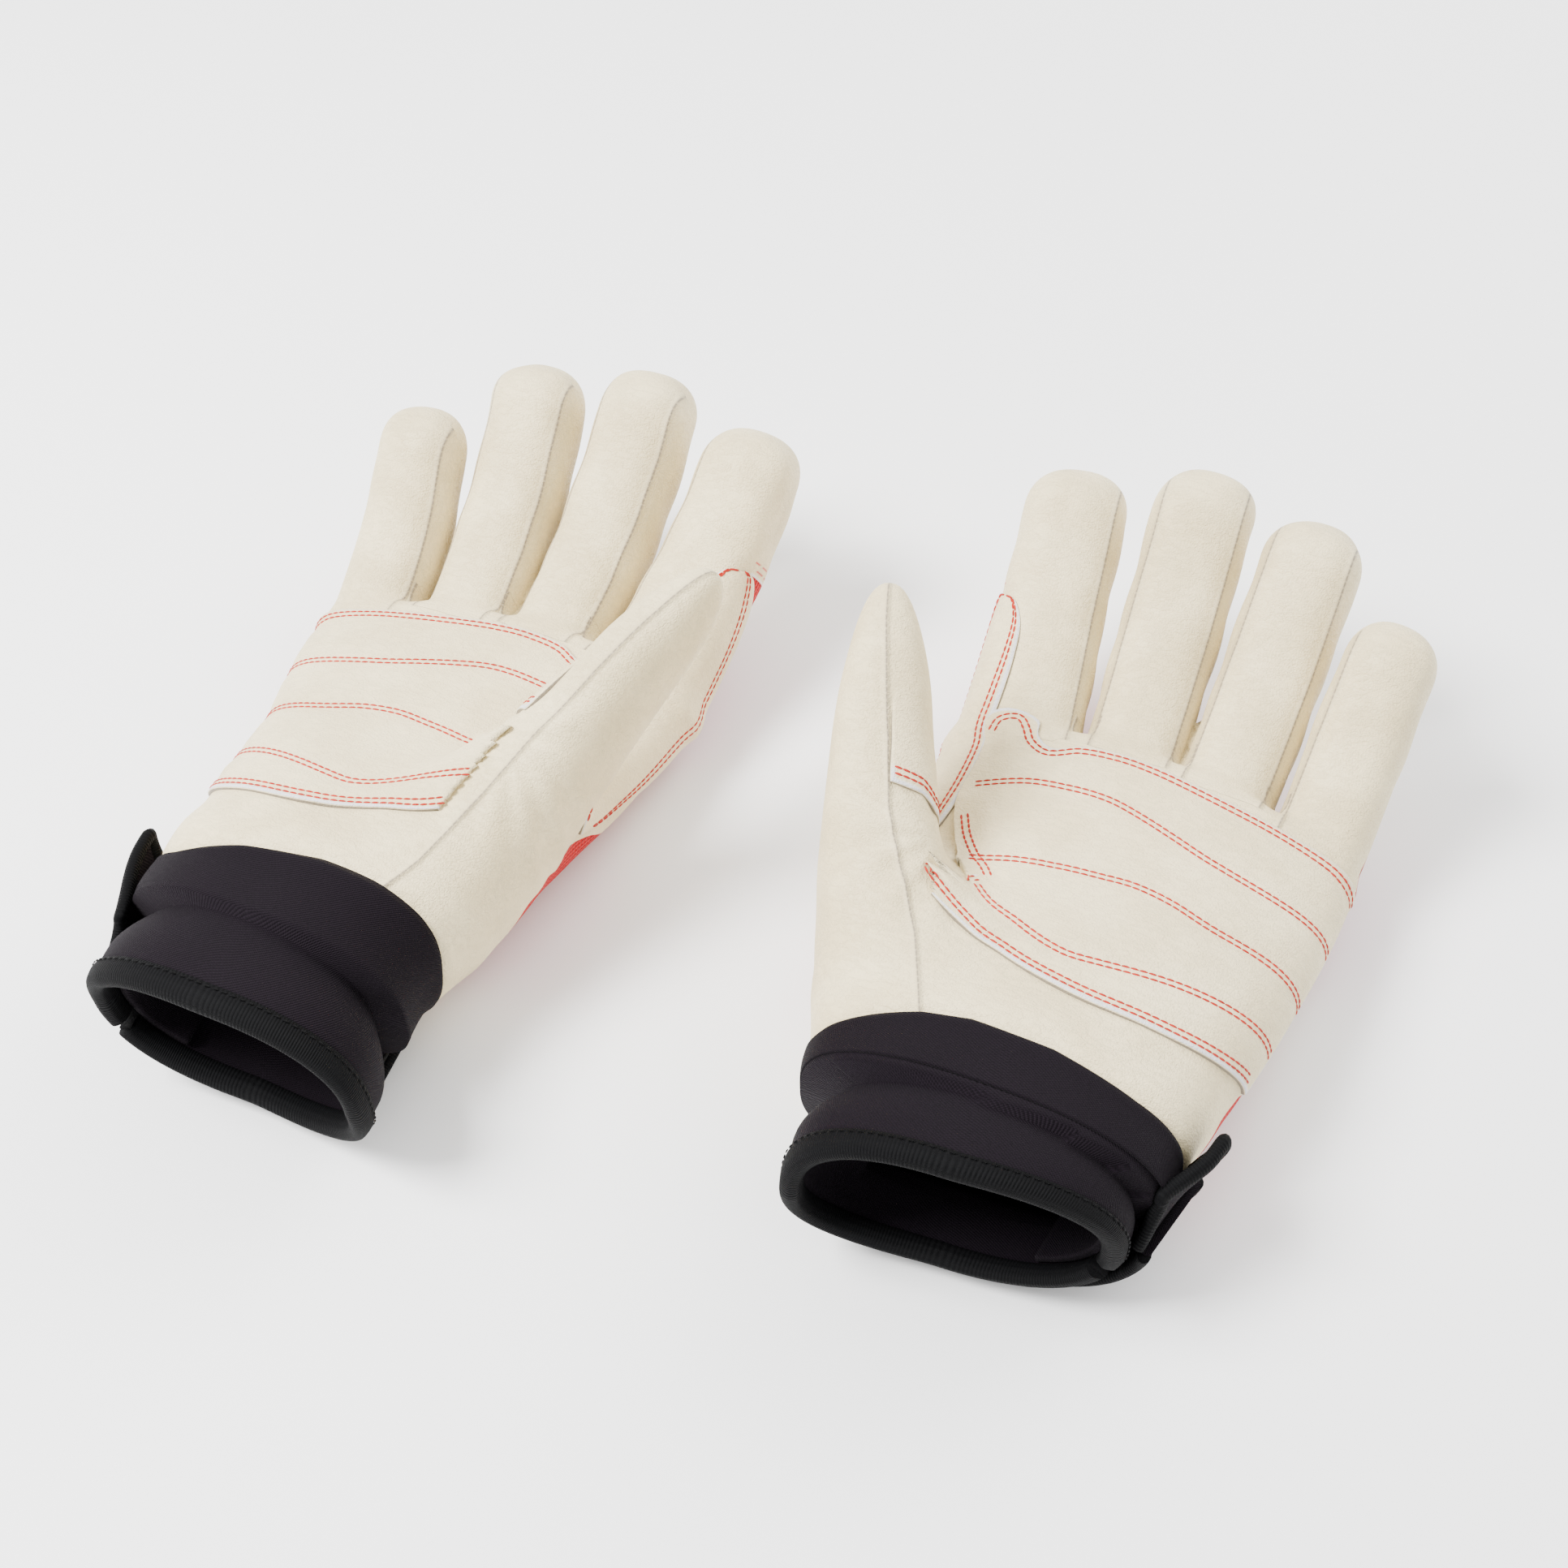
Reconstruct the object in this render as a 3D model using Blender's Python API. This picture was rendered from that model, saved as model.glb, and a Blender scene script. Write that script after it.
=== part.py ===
"""A pair of long-fingered sailing gloves lying on their backs, palms up, wrist openings towards -Y.

Both gloves are one design, and the left one is the mirror image of the right one. A point of a glove
is written (p, q, h) in millimetres: p across the hand towards the thumb, q from the cuff's edge
towards the fingertips, h up from the surface that the glove lies on.
"""

import math

import bmesh
import bpy
import numpy as np
from mathutils import Matrix, Vector

MM = 0.001

# Where each glove's p = 0, q = 0, h = 0 lies, and +1 where p runs along +X.
GLOVES = {"right": (-93.6, -127.6, 1), "left": (93.6, -107.6, -1)}

# Thicknesses, and the air left between two neighbouring pieces.
LEATHER = 1.2
NEOPRENE = 3.0
PATCH = 1.0
TAPE = 1.0
STRAP = 2.3
AIR = 0.3
PATCH_AIR = 0.95

# Closed sections across the hand: (q, centre p, centre h, half width, half height). The left glove's
# wrist lies a little flatter and wider than the right one's.
CUFFS = {
    "right": [(0, 9.5, 30.2, 37.0, 25.0), (49, 3.5, 30.2, 39.5, 25.0)],
    "left": [(0, 10.0, 30.2, 38.0, 25.0), (49, 7.5, 30.2, 45.5, 25.0)],
}
WRISTS = {
    "right": [(49, 3.0, 29.0, 40.0, 26.0), (62, 2.0, 28.0, 43.0, 25.0), (80, 1.0, 25.5, 47.0, 23.3)],
    "left": [(49, 7.5, 29.0, 46.0, 25.0), (62, 7.0, 27.5, 48.0, 24.2), (80, 4.0, 25.3, 49.5, 23.0)],
}
PALM = [
    (100, 1.5, 22.3, 50.0, 21.4),
    (125, 1.5, 20.0, 54.0, 20.0),
    (165, 1.0, 18.5, 56.0, 18.5),
]
HANDS = {side: WRISTS[side] + PALM for side in WRISTS}
ROUND_POWER = 2.5
CUFF_END = 49.0
CUFF_EDGE = 5.3  # the neoprene starts here, behind its binding
HAND_START = CUFF_END + AIR
# The line of the knuckles is a shallow arc, furthest out beside the middle finger.
KNUCKLE_Q, KNUCKLE_P, KNUCKLE_BOW = 163.0, 12.0, 0.0038
KNUCKLE_TILT = math.tan(math.radians(20))
PALM_CLEARANCE = 4.0
LEATHER_ANGLES = (-8, 188)
KNIT_ANGLES = (188.6, 351.4)

# Each finger: base centre, yaw, pitch at the base and at the tip, length, half widths at base and tip,
# half thicknesses at base and tip.
FINGERS = {
    "index": ((40.3, 160.0, 18.5), 6.5, 18, 48, 84.0, (15.4, 14.0), (15.5, 12.0)),
    "middle": ((10.8, 163.0, 18.5), 2.2, 20, 55, 89.0, (12.8, 13.6), (16.0, 12.0)),
    "ring": ((-15.9, 160.5, 18.5), -2.8, 21, 58, 84.0, (12.9, 13.0), (16.0, 12.0)),
    "little": ((-42.4, 152.0, 17.5), -4.6, 24, 62, 68.5, (11.9, 11.8), (14.5, 11.0)),
}
FINGER_GAP = 2.6  # from the knuckle's plane to the first edge of the finger's pieces
HINGE_DEPTH = 3.0  # the knuckle bends about a line this far under the palm side
KNIT_SHARE = 0.52  # of a finger's back, from the knuckle
TIP_SHARE = 0.16  # of a finger's length is its rounded tip
TIP_EASE = 0.6  # below 1, a panel's rows crowd towards the tip

# Each thumb's centre line and half sizes: (p, q, h, half width, half thickness). The right one lies closer
# to the palm than the left one.
THUMBS = {
    "right": [
        (18.0, 52.0, 28.0, 19.0, 18.0),
        (31.0, 74.0, 36.0, 20.5, 19.0),
        (44.5, 95.0, 48.0, 18.0, 17.0),
        (56.5, 113.0, 62.5, 15.0, 15.0),
        (66.0, 128.0, 76.5, 13.0, 12.5),
        (75.0, 142.0, 90.5, 11.5, 10.5),
    ],
    "left": [
        (26.0, 49.0, 27.0, 22.0, 18.0),
        (40.0, 70.0, 35.0, 24.0, 19.0),
        (51.5, 91.5, 47.0, 20.5, 17.5),
        (60.0, 111.0, 61.0, 15.5, 15.0),
        (67.0, 127.0, 75.0, 13.0, 12.5),
        (73.5, 141.0, 89.5, 11.5, 10.5),
    ],
}
THUMB_HINGE = 58.0  # along its centre line
THUMB_START = 19.0
SEAM_AIR = AIR / 2

# The closure, as angles round the cuff: 0 at the thumb side, 90 palm, 180 little finger, 270 back.
BAND_ANGLES = (-155, 195)
UNDERLAP_ANGLES = (172, 238)
LOOP_ANGLES = (220, 310)
HOOK_ANGLES = (215, 295)
STRAP_ANGLES = (185, 305)
STRAP_Q = (9.0, 45.0)
TAPE_Q = (12.0, 42.0)
EDGE_RADIUS = 2.3
STRAP_EDGE_RADIUS = 1.35

# Each material's colour and roughness.
MATERIALS = {
    "leather": ((0.80, 0.76, 0.66), 0.62),
    "knit": ((0.78, 0.03, 0.05), 0.85),
    "neoprene": ((0.018, 0.016, 0.022), 0.8),
    "binding": ((0.010, 0.010, 0.013), 0.7),
    "tape": ((0.02, 0.02, 0.02), 0.95),
}


def clear_scene():
    for obj in list(bpy.data.objects):
        bpy.data.objects.remove(obj)


def make_materials():
    made = {}
    for name, (colour, roughness) in MATERIALS.items():
        material = bpy.data.materials.new(name)
        material.use_nodes = True
        shader = material.node_tree.nodes["Principled BSDF"]
        shader.inputs["Base Color"].default_value = (*colour, 1)
        shader.inputs["Roughness"].default_value = roughness
        shader.inputs["Metallic"].default_value = 0
        made[name] = material
    return made


def oval(angle, half_width, half_height):
    """A point of a rounded-off oval, from its centre."""
    c, s = math.cos(math.radians(angle)), math.sin(math.radians(angle))
    power = 2 / ROUND_POWER
    return half_width * math.copysign(abs(c) ** power, c), half_height * math.copysign(abs(s) ** power, s)


def row_tube(stations):
    """The surface through sections that all stand across q: a function of q, angle and outward offset."""
    rows = np.array(stations, float)

    def point(q, angle, offset=0.0, lift=0.0):
        p, h, half_width, half_height = (np.interp(q, rows[:, 0], rows[:, k]) for k in range(1, 5))
        x, z = oval(angle, half_width + offset, half_height + offset)
        return Vector((p + x, q, h + z + lift))

    return point


def finger_frame(finger, s):
    """Centre, across and palm-side directions of a finger at the distance s from its base."""
    base, yaw, pitch_base, pitch_tip, length = finger[:5]
    bend = math.radians(pitch_tip - pitch_base) / length
    start = math.radians(pitch_base)
    turned = start + bend * s
    forward = (math.sin(turned) - math.sin(start)) / bend
    up = (math.cos(start) - math.cos(turned)) / bend
    heading = Vector((math.sin(math.radians(yaw)), math.cos(math.radians(yaw)), 0))
    across = Vector((heading.y, -heading.x, 0))
    normal = Vector((0, 0, 1)) * math.cos(turned) - heading * math.sin(turned)
    return Vector(base) + heading * forward + Vector((0, 0, up)), across, normal


def finger_tube(finger):
    """The finger's surface as a function of s, angle and outward offset; an inner surface also ends sooner."""
    length, widths, heights = finger[4:7]

    def point(s, angle, offset=0.0, lift=0.0):
        share = min(s / length, 1.0)
        cap = math.sqrt(max(1 - max(share - 1 + TIP_SHARE, 0) ** 2 / TIP_SHARE**2, 0.006))
        centre, across, normal = finger_frame(finger, s + share * offset)
        half_width = (widths[0] + (widths[1] - widths[0]) * share + offset) * cap
        half_height = (heights[0] + (heights[1] - heights[0]) * share + offset) * cap
        x, z = oval(angle, half_width, half_height)
        return centre + across * x + normal * (z + lift)

    return point


class Thumb:
    """A thumb's surface, from its centre line. Angle 0 faces away from the palm and 90 faces up."""

    def __init__(self, side):
        self.rows = np.array(THUMBS[side], float)
        steps = np.linalg.norm(np.diff(self.rows[:, :3], axis=0), axis=1)
        self.along = np.concatenate([[0], np.cumsum(steps)])
        self.length = float(self.along[-1])

    def at(self, s, column):
        return float(np.interp(s, self.along, self.rows[:, column]))

    def frame(self, s):
        """Centre, the direction away from the palm, and the direction up from the thumb's upper side."""
        before, here, after = (Vector([self.at(s + d, k) for k in range(3)]) for d in (-4.0, 0, 4.0))
        direction = (after - before).normalized()
        across = direction.cross(Vector((0, 0, 1))).normalized()
        return here, across, across.cross(direction)

    def point(self, s, angle, offset=0.0, lift=0.0):
        """A point of the surface; lift moves it across the thumb."""
        share = min(s / self.length, 1.0)
        cap = math.sqrt(max(1 - max(share - 1 + TIP_SHARE, 0) ** 2 / TIP_SHARE**2, 0.006))
        centre, across, normal = self.frame(s + share * offset)
        x, z = oval(angle, (self.at(s, 3) + offset) * cap, (self.at(s, 4) + offset) * cap)
        return centre + across * (x + lift) + normal * z


def palm_end(angle, margin=PALM_CLEARANCE):
    """Where the hand's pieces end, short of the knuckles: an arc, leaning back towards the palm side."""
    surface = row_tube(PALM)(KNUCKLE_Q, angle)
    arc = KNUCKLE_Q - KNUCKLE_BOW * (surface.x - KNUCKLE_P) ** 2
    return arc - margin - (surface.z - PALM[-1][2]) * KNUCKLE_TILT


class Glove:
    """Makes the objects of one glove. Points are given in the right hand's p, q and h."""

    def __init__(self, side, materials):
        x, y, self.sign = GLOVES[side]
        self.side, self.materials, self.thumb = side, materials, Thumb(side)
        self.cuff, self.hand = row_tube(CUFFS[side]), row_tube(HANDS[side])
        self.root = self.empty("glove", Vector((0, 0, 0)))
        self.root.location = Vector((x, y, 0)) * MM

    def empty(self, name, place, parent=None):
        """An empty at a joint; its children turn or slide about it."""
        made = bpy.data.objects.new(f"{self.side}_{name}_joint", None)
        bpy.context.scene.collection.objects.link(made)
        made["place"] = list(place)
        if parent:
            made.parent = parent
            made.location = self.local(place, parent)
        return made

    def local(self, point, parent):
        offset = Vector(point) - Vector(parent["place"])
        return Vector((offset.x * self.sign, offset.y, offset.z)) * MM

    def link(self, name, data, parent, material):
        made = bpy.data.objects.new(f"{self.side}_{name}", data)
        bpy.context.scene.collection.objects.link(made)
        made.parent = parent
        data.materials.append(self.materials[material])
        return made

    def loft(self, name, loops, parent, material, closed=False):
        """One solid skinned over loops of equally many points; its ends are capped, or joined if closed."""
        bm = bmesh.new()
        rings = [[bm.verts.new(self.local(point, parent)) for point in loop] for loop in loops]
        count = len(rings[0])
        for here, there in zip(rings, rings[1:] + rings[:1] if closed else rings[1:]):
            for i in range(count):
                j = (i + 1) % count
                bm.faces.new((here[i], here[j], there[j]))
                bm.faces.new((here[i], there[j], there[i]))
        for end in () if closed else (rings[0][::-1], rings[-1]):
            for i in range(count // 2 - 1):
                bm.faces.new((end[i], end[i + 1], end[count - 2 - i]))
                bm.faces.new((end[i], end[count - 2 - i], end[count - 1 - i]))
        bmesh.ops.recalc_face_normals(bm, faces=bm.faces)
        mesh = bpy.data.meshes.new(name)
        bm.to_mesh(mesh)
        bm.free()
        mesh.shade_smooth()
        mesh.set_sharp_from_angle(angle=math.radians(35))
        return self.link(name, mesh, parent, material)

    def panel(self, name, surface, angles, run, skin, parent, material, counts, lift=0.0, ease=1.0):
        """A curved panel: angles across it, run(angle) its two ends, skin its inner and outer offsets."""
        across = np.linspace(*angles, counts[0] + 1)
        loops = []
        for share in np.linspace(0, 1, counts[1] + 1) ** ease:
            sides = []
            for offset, order in ((skin[1], across), (skin[0], across[::-1])):
                for angle in order:
                    start, end = run(angle)
                    sides.append(surface(start + (end - start) * share, angle, offset, lift))
            loops.append(sides)
        return self.loft(name, loops, parent, material)

    def ring(self, name, surface, run, skin, parent, material, counts):
        """A tube that goes all the way round."""
        loops = []
        for angle in np.linspace(0, 360, counts[0], endpoint=False):
            shares = np.linspace(*run, counts[1] + 1)
            outside = [surface(s, angle, skin[1]) for s in shares]
            inside = [surface(s, angle, skin[0]) for s in shares[::-1]]
            loops.append(outside + inside)
        return self.loft(name, loops, parent, material, closed=True)

    def bead(self, name, path, radius, parent, material):
        """A round edge tape along a path."""
        curve = bpy.data.curves.new(name, "CURVE")
        curve.dimensions, curve.bevel_depth, curve.bevel_resolution = "3D", radius * MM, 1
        curve.use_fill_caps = True
        spline = curve.splines.new("POLY")
        spline.points.add(len(path) - 1)
        for point, place in zip(spline.points, path):
            point.co = (*self.local(place, parent), 1)
        return self.link(name, curve, parent, material)

    def solid(self, name, surface, run, offset, counts):
        """A hidden filled tube, used to cut the thumb's hole or to trim what meets the hand."""
        loops = [
            [surface(s, angle, offset) for angle in np.linspace(0, 360, counts[0], endpoint=False)]
            for s in np.linspace(*run, counts[1] + 1)
        ]
        made = self.loft(name, loops, self.root, "leather")
        made.hide_render, made.display_type = True, "WIRE"
        return made


def cut(obj, cutter):
    modifier = obj.modifiers.new(cutter.name, "BOOLEAN")
    modifier.operation, modifier.object, modifier.solver = "DIFFERENCE", cutter, "EXACT"


def make_hand(glove):
    """Leather palm, knitted back and the patch that takes the rope, with the hole where the thumb joins."""
    hand, root = glove.hand, glove.root
    thumb_run = (THUMB_START - 10, THUMB_HINGE)
    hole = glove.solid("thumb_hole_cutter", glove.thumb.point, thumb_run, 2.5 * AIR, (16, 8))
    wrist = lambda angle: (HAND_START, palm_end(angle))
    skin = (-LEATHER, 0)
    palm = glove.panel("palm_leather", hand, LEATHER_ANGLES, wrist, skin, root, "leather", (16, 6))
    back = glove.panel("back_knit", hand, KNIT_ANGLES, wrist, skin, root, "knit", (13, 6))

    def patch_run(angle):
        share = (angle - 60) / 118
        return 88 - 14 * share, palm_end(angle, 11 - 2 * share)

    def side_run(angle):
        return 117.0, palm_end(angle, PALM_CLEARANCE + 0.5)

    over = (PATCH_AIR, PATCH_AIR + PATCH)
    patch = glove.panel("palm_patch", hand, (44, 178), patch_run, over, root, "leather", (12, 4))
    side = glove.panel("index_patch_lower", hand, (-24, 40), side_run, over, root, "leather", (6, 2))
    for piece in (palm, back, patch, side):
        cut(piece, hole)


def make_thumb(glove):
    """The thumb: its fixed base on the hand, and two long panels and a patch that bend at its knuckle."""
    root, skin, hinge, thumb = glove.root, (-LEATHER, 0), THUMB_HINGE, glove.thumb
    rows = (CUFF_END + 0.5, PALM[-1][0])
    trimmer = glove.solid("hand_trimmer", glove.hand, rows, AIR, (28, 7))
    base_run = (THUMB_START, hinge - FINGER_GAP)
    base = glove.ring("thumb_gusset", thumb.point, base_run, skin, root, "leather", (16, 4))
    cut(base, trimmer)
    centre, across, _ = thumb.frame(hinge)
    joint = glove.empty("thumb_knuckle", centre - across * (thumb.at(hinge, 3) - HINGE_DEPTH), root)
    run, patch_run = (hinge + FINGER_GAP, thumb.length), (hinge + FINGER_GAP + 1, thumb.length * 0.86)
    over = (PATCH_AIR, PATCH_AIR + PATCH)
    for name, angles, lift in (("outer", (-90, 90), SEAM_AIR), ("inner", (90, 270), -SEAM_AIR)):
        args = (lambda angle: run, skin, joint, "leather", (8, 7), lift, TIP_EASE)
        glove.panel(f"thumb_{name}", thumb.point, angles, *args)
    glove.panel("thumb_patch", thumb.point, (110, 215), lambda angle: patch_run, over, joint, "leather", (5, 3))


def make_finger(glove, name):
    """A finger: leather front, knitted back up to its middle, and the leather that wraps the tip."""
    finger = FINGERS[name]
    surface, length, skin = finger_tube(finger), finger[4], (-LEATHER, 0)
    centre, _, normal = finger_frame(finger, 0)
    hinge = centre + normal * (finger[6][0] - HINGE_DEPTH)
    joint = glove.empty(f"{name}_knuckle", hinge, glove.root)
    middle = length * KNIT_SHARE
    front_run, back_run = (lambda angle: (FINGER_GAP, length)), (lambda angle: (FINGER_GAP, middle))
    tip_run = lambda angle: (middle + AIR, length)
    glove.panel(f"{name}_front", surface, (0, 180), front_run, skin, joint, "leather", (8, 8), SEAM_AIR, TIP_EASE)
    glove.panel(f"{name}_back", surface, (180, 360), back_run, skin, joint, "knit", (6, 3), -SEAM_AIR)
    glove.panel(f"{name}_tip", surface, (180, 360), tip_run, skin, joint, "leather", (6, 6), -SEAM_AIR, TIP_EASE)
    if name == "index":
        patch_run, over = (lambda angle: (FINGER_GAP + 1, length * 0.46)), (PATCH_AIR, PATCH_AIR + PATCH)
        glove.panel("index_patch_upper", surface, (-42, 44), patch_run, over, joint, "leather", (5, 3))


def make_cuff(glove):
    """The neoprene cuff, slit at the little finger's side, its bound edge, the tongue inside the slit and
    the strip of loops that the strap closes on."""
    cuff, root = glove.cuff, glove.root
    band_run = lambda angle: (CUFF_EDGE, CUFF_END)
    skin, inside = (-NEOPRENE, 0), (-2 * NEOPRENE - AIR, -NEOPRENE - AIR)
    glove.panel("cuff_band", cuff, BAND_ANGLES, band_run, skin, root, "neoprene", (34, 2))
    tongue_run = lambda angle: (CUFF_EDGE + 1, CUFF_END - 4)
    glove.panel("cuff_tongue", cuff, UNDERLAP_ANGLES, tongue_run, inside, root, "neoprene", (7, 2))
    tape_run = lambda angle: TAPE_Q
    loop_skin = (AIR, AIR + TAPE)
    glove.panel("loop_patch", cuff, LOOP_ANGLES, tape_run, loop_skin, root, "tape", (9, 1))
    middle = CUFF_EDGE - AIR - EDGE_RADIUS
    edge = [cuff(middle, angle, -NEOPRENE / 2) for angle in np.linspace(*BAND_ANGLES, 36)]
    glove.bead("cuff_binding", edge, EDGE_RADIUS, root, "binding")


def make_strap(glove):
    """The closing strap: it is sewn on at the little finger's side, wraps the back and peels away from it."""
    cuff, inner = glove.cuff, 3 * AIR + 2 * TAPE
    hinge = cuff(sum(STRAP_Q) / 2, STRAP_ANGLES[0], inner + STRAP / 2)
    joint = glove.empty("strap_hinge", hinge, glove.root)
    strap_run, tape_run = (lambda angle: STRAP_Q), (lambda angle: TAPE_Q)
    skin, hook_skin = (inner, inner + STRAP), (2 * AIR + TAPE, 2 * AIR + 2 * TAPE)
    glove.panel("strap", cuff, STRAP_ANGLES, strap_run, skin, joint, "neoprene", (12, 1))
    glove.panel("hook_patch", cuff, HOOK_ANGLES, tape_run, hook_skin, joint, "tape", (8, 1))
    out = AIR + STRAP_EDGE_RADIUS
    level = inner + STRAP - STRAP_EDGE_RADIUS
    first, last = STRAP_ANGLES[0] + 1, STRAP_ANGLES[1] + 3
    there = [cuff(STRAP_Q[0] - out, angle, level) for angle in np.linspace(first, last, 14)]
    turn = [cuff(q, last + 1, level) for q in np.linspace(STRAP_Q[0], STRAP_Q[1], 3)]
    back = [cuff(STRAP_Q[1] + out, angle, level) for angle in np.linspace(last, first, 14)]
    glove.bead("strap_binding", there + turn + back, STRAP_EDGE_RADIUS, joint, "binding")


def main():
    clear_scene()
    materials = make_materials()
    for side in GLOVES:
        glove = Glove(side, materials)
        make_hand(glove)
        make_thumb(glove)
        for name in FINGERS:
            make_finger(glove, name)
        make_cuff(glove)
        make_strap(glove)


main()
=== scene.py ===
import math

import bmesh
import bpy
import numpy as np
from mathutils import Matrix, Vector
from mathutils.bvhtree import BVHTree


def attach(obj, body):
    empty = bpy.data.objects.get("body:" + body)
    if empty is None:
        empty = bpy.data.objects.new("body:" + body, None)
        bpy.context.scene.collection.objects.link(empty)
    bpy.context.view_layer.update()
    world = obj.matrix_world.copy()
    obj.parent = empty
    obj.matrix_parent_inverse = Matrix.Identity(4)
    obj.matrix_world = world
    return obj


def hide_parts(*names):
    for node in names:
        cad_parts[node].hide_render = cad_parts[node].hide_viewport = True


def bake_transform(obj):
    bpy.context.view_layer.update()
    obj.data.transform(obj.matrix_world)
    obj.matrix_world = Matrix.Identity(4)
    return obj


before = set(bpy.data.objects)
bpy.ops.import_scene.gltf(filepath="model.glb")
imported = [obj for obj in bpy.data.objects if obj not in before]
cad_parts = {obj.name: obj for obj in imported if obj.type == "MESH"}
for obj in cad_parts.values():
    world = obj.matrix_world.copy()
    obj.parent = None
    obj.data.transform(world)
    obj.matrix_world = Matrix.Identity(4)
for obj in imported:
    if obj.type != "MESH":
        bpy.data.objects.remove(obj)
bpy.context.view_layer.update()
MM = 0.001

# Where each glove's p = 0, q = 0, h = 0 lies in millimetres, and +1 where p runs along +X. p runs across the
# hand towards the thumb, q from the cuff's edge towards the fingertips, h up from the table.
GLOVES = {"right": (-93.6, -127.6, 1), "left": (93.6, -107.6, -1)}

# ---------------------------------------------------------------- the gloves' own shape, in p, q and h

HANDS = {
    "right": [(40, 3.2, 30.2, 38.5, 24.5), (49, 3.0, 29.6, 40.0, 25.5), (62, 3.5, 28.0, 41.0, 25.2),
              (80, 3.5, 25.5, 43.5, 23.6), (100, 3.5, 22.5, 47.0, 21.8), (125, 2.0, 20.0, 53.0, 20.0),
              (165, 2.0, 18.5, 57.2, 18.5), (185, 2.2, 18.0, 57.2, 18.0)],
    "left": [(40, 8.0, 30.2, 44.0, 24.5), (49, 7.5, 29.6, 45.8, 25.2), (62, 6.5, 27.7, 48.0, 24.6),
             (80, 4.0, 25.3, 49.5, 23.4), (100, 1.5, 22.5, 50.5, 21.8), (125, 2.2, 20.0, 54.8, 20.0),
             (165, 2.2, 18.5, 57.2, 18.5), (185, 2.2, 18.0, 57.2, 18.0)],
}
PALM_POWER = 2.5
# Base centre, yaw, pitch at base and tip, length, half widths at base, middle and tip, half thicknesses.
FINGERS = {
    "index": ((41.3, 160.0, 18.5), 6.0, 18, 48, 84.5, (16.8, 14.8, 14.2), (15.8, 14.2, 12.4)),
    "middle": ((10.8, 163.0, 18.5), 2.2, 20, 55, 89.5, (13.2, 13.9, 13.8), (16.2, 14.4, 12.4)),
    "ring": ((-15.9, 160.5, 18.5), -2.8, 21, 58, 84.5, (13.2, 13.6, 13.2), (16.2, 14.2, 12.2)),
    "little": ((-42.4, 152.0, 17.5), -4.6, 24, 62, 69.0, (12.4, 12.6, 12.0), (15.0, 13.2, 11.4)),
}
NAMES = list(FINGERS)
THUMBS = {
    "right": [(18, 52, 28, 19, 18), (31, 74, 36, 20.5, 19), (43.5, 95.5, 48, 15.2, 16.8), (54.4, 114.4, 62.5, 10.6, 14),
              (63.8, 129.5, 76.5, 9, 12), (73.6, 143, 90.5, 8, 10)],
    "left": [(26, 49, 27, 22, 18), (42, 70, 35, 20.5, 19), (56, 91.5, 47, 14.8, 16.5), (63.5, 111, 61, 12.6, 14),
             (68.8, 126.5, 74, 10.8, 12), (73.8, 139.5, 87.5, 9, 9.5)],
}
CUFFS = {"right": [(0, 9.5, 30.2, 37, 25), (49, 3.5, 30.2, 39.5, 25)],
         "left": [(0, 9.3, 30.2, 34, 24.5), (49, 7.5, 30.2, 45, 25)]}
# How far the cuff's mouth is pulled in, by angle round it.
MOUTH = {"right": ([-155, -90, 0, 90, 140, 195, 270, 320], [5, 7, 1, 0.5, 1.5, 5, 7, 4]),
         "left": ([-155, -90, 0, 90, 140, 195, 270, 320], [17, 12, 2, 7.5, 12.5, 18, 12, 6])}
# Where the leather ends on the cuff, by angle round the hand.
WRIST = {"right": ([-180, -40, -3, 25, 45, 70, 114, 145, 180], [41, 42, 45, 47.5, 48.5, 48.5, 45, 40, 41]),
         "left": ([-180, -40, 0, 14, 30, 49, 70, 113, 147, 180], [42, 40, 37, 37.5, 40.5, 44.5, 46.5, 46, 43, 42])}
# The knit's upper edge, as angles round the hand by places along it: the thumb's side and the other side.
KNIT_IN = ([40, 62, 68, 74, 82, 95, 107, 116, 130, 170], [-60, -34, -10, 2, 7, 4, -3, -12, -14, -10])
KNIT_OUT = ([40, 54, 60, 70, 84, 120, 129, 138, 146, 153, 160, 168], [200, 184, 179, 180, 196, 196, 188, 171, 176, 169, 171, 186])
# The thumb's ridge seam: angles round the thumb by places along it.
THUMB_RIDGE = {"left": ([0, 7, 28, 41, 58, 73, 92, 113], [78, 81, 93, 96, 97, 97, 92, 84]),
               "right": ([0, 11, 21, 41, 65, 88, 110], [66, 65, 66, 74, 82, 82, 76])}
GRID = 1.5
FINGER_CUT, THUMB_CUT = 6.0, 63.5


def curve_through(xs, ys, at):
    """Smooth values at the places asked for, through the given ones."""
    xs, ys = np.asarray(xs, float), np.asarray(ys, float)
    slopes = np.gradient(ys, xs, axis=0)
    at = np.clip(at, xs[0], xs[-1])
    i = np.clip(np.searchsorted(xs, at, side="right") - 1, 0, len(xs) - 2)
    width = xs[i + 1] - xs[i]
    t = (at - xs[i]) / width
    if ys.ndim > 1:
        t, width = t[..., None], width[..., None]
    a, b = 2 * t**3 - 3 * t**2 + 1, t**3 - 2 * t**2 + t
    c, d = -2 * t**3 + 3 * t**2, t**3 - t**2
    return a * ys[i] + b * width * slopes[i] + c * ys[i + 1] + d * width * slopes[i + 1]


def smooth_min(a, b, reach):
    share = np.clip(0.5 + 0.5 * (b - a) / reach, 0, 1)
    return b + (a - b) * share - reach * share * (1 - share)


def fade(x, low, high):
    t = np.clip((x - low) / (high - low), 0, 1)
    return t * t * (3 - 2 * t)


def bump(x, width):
    return np.exp(-((x / width) ** 2))


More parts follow.
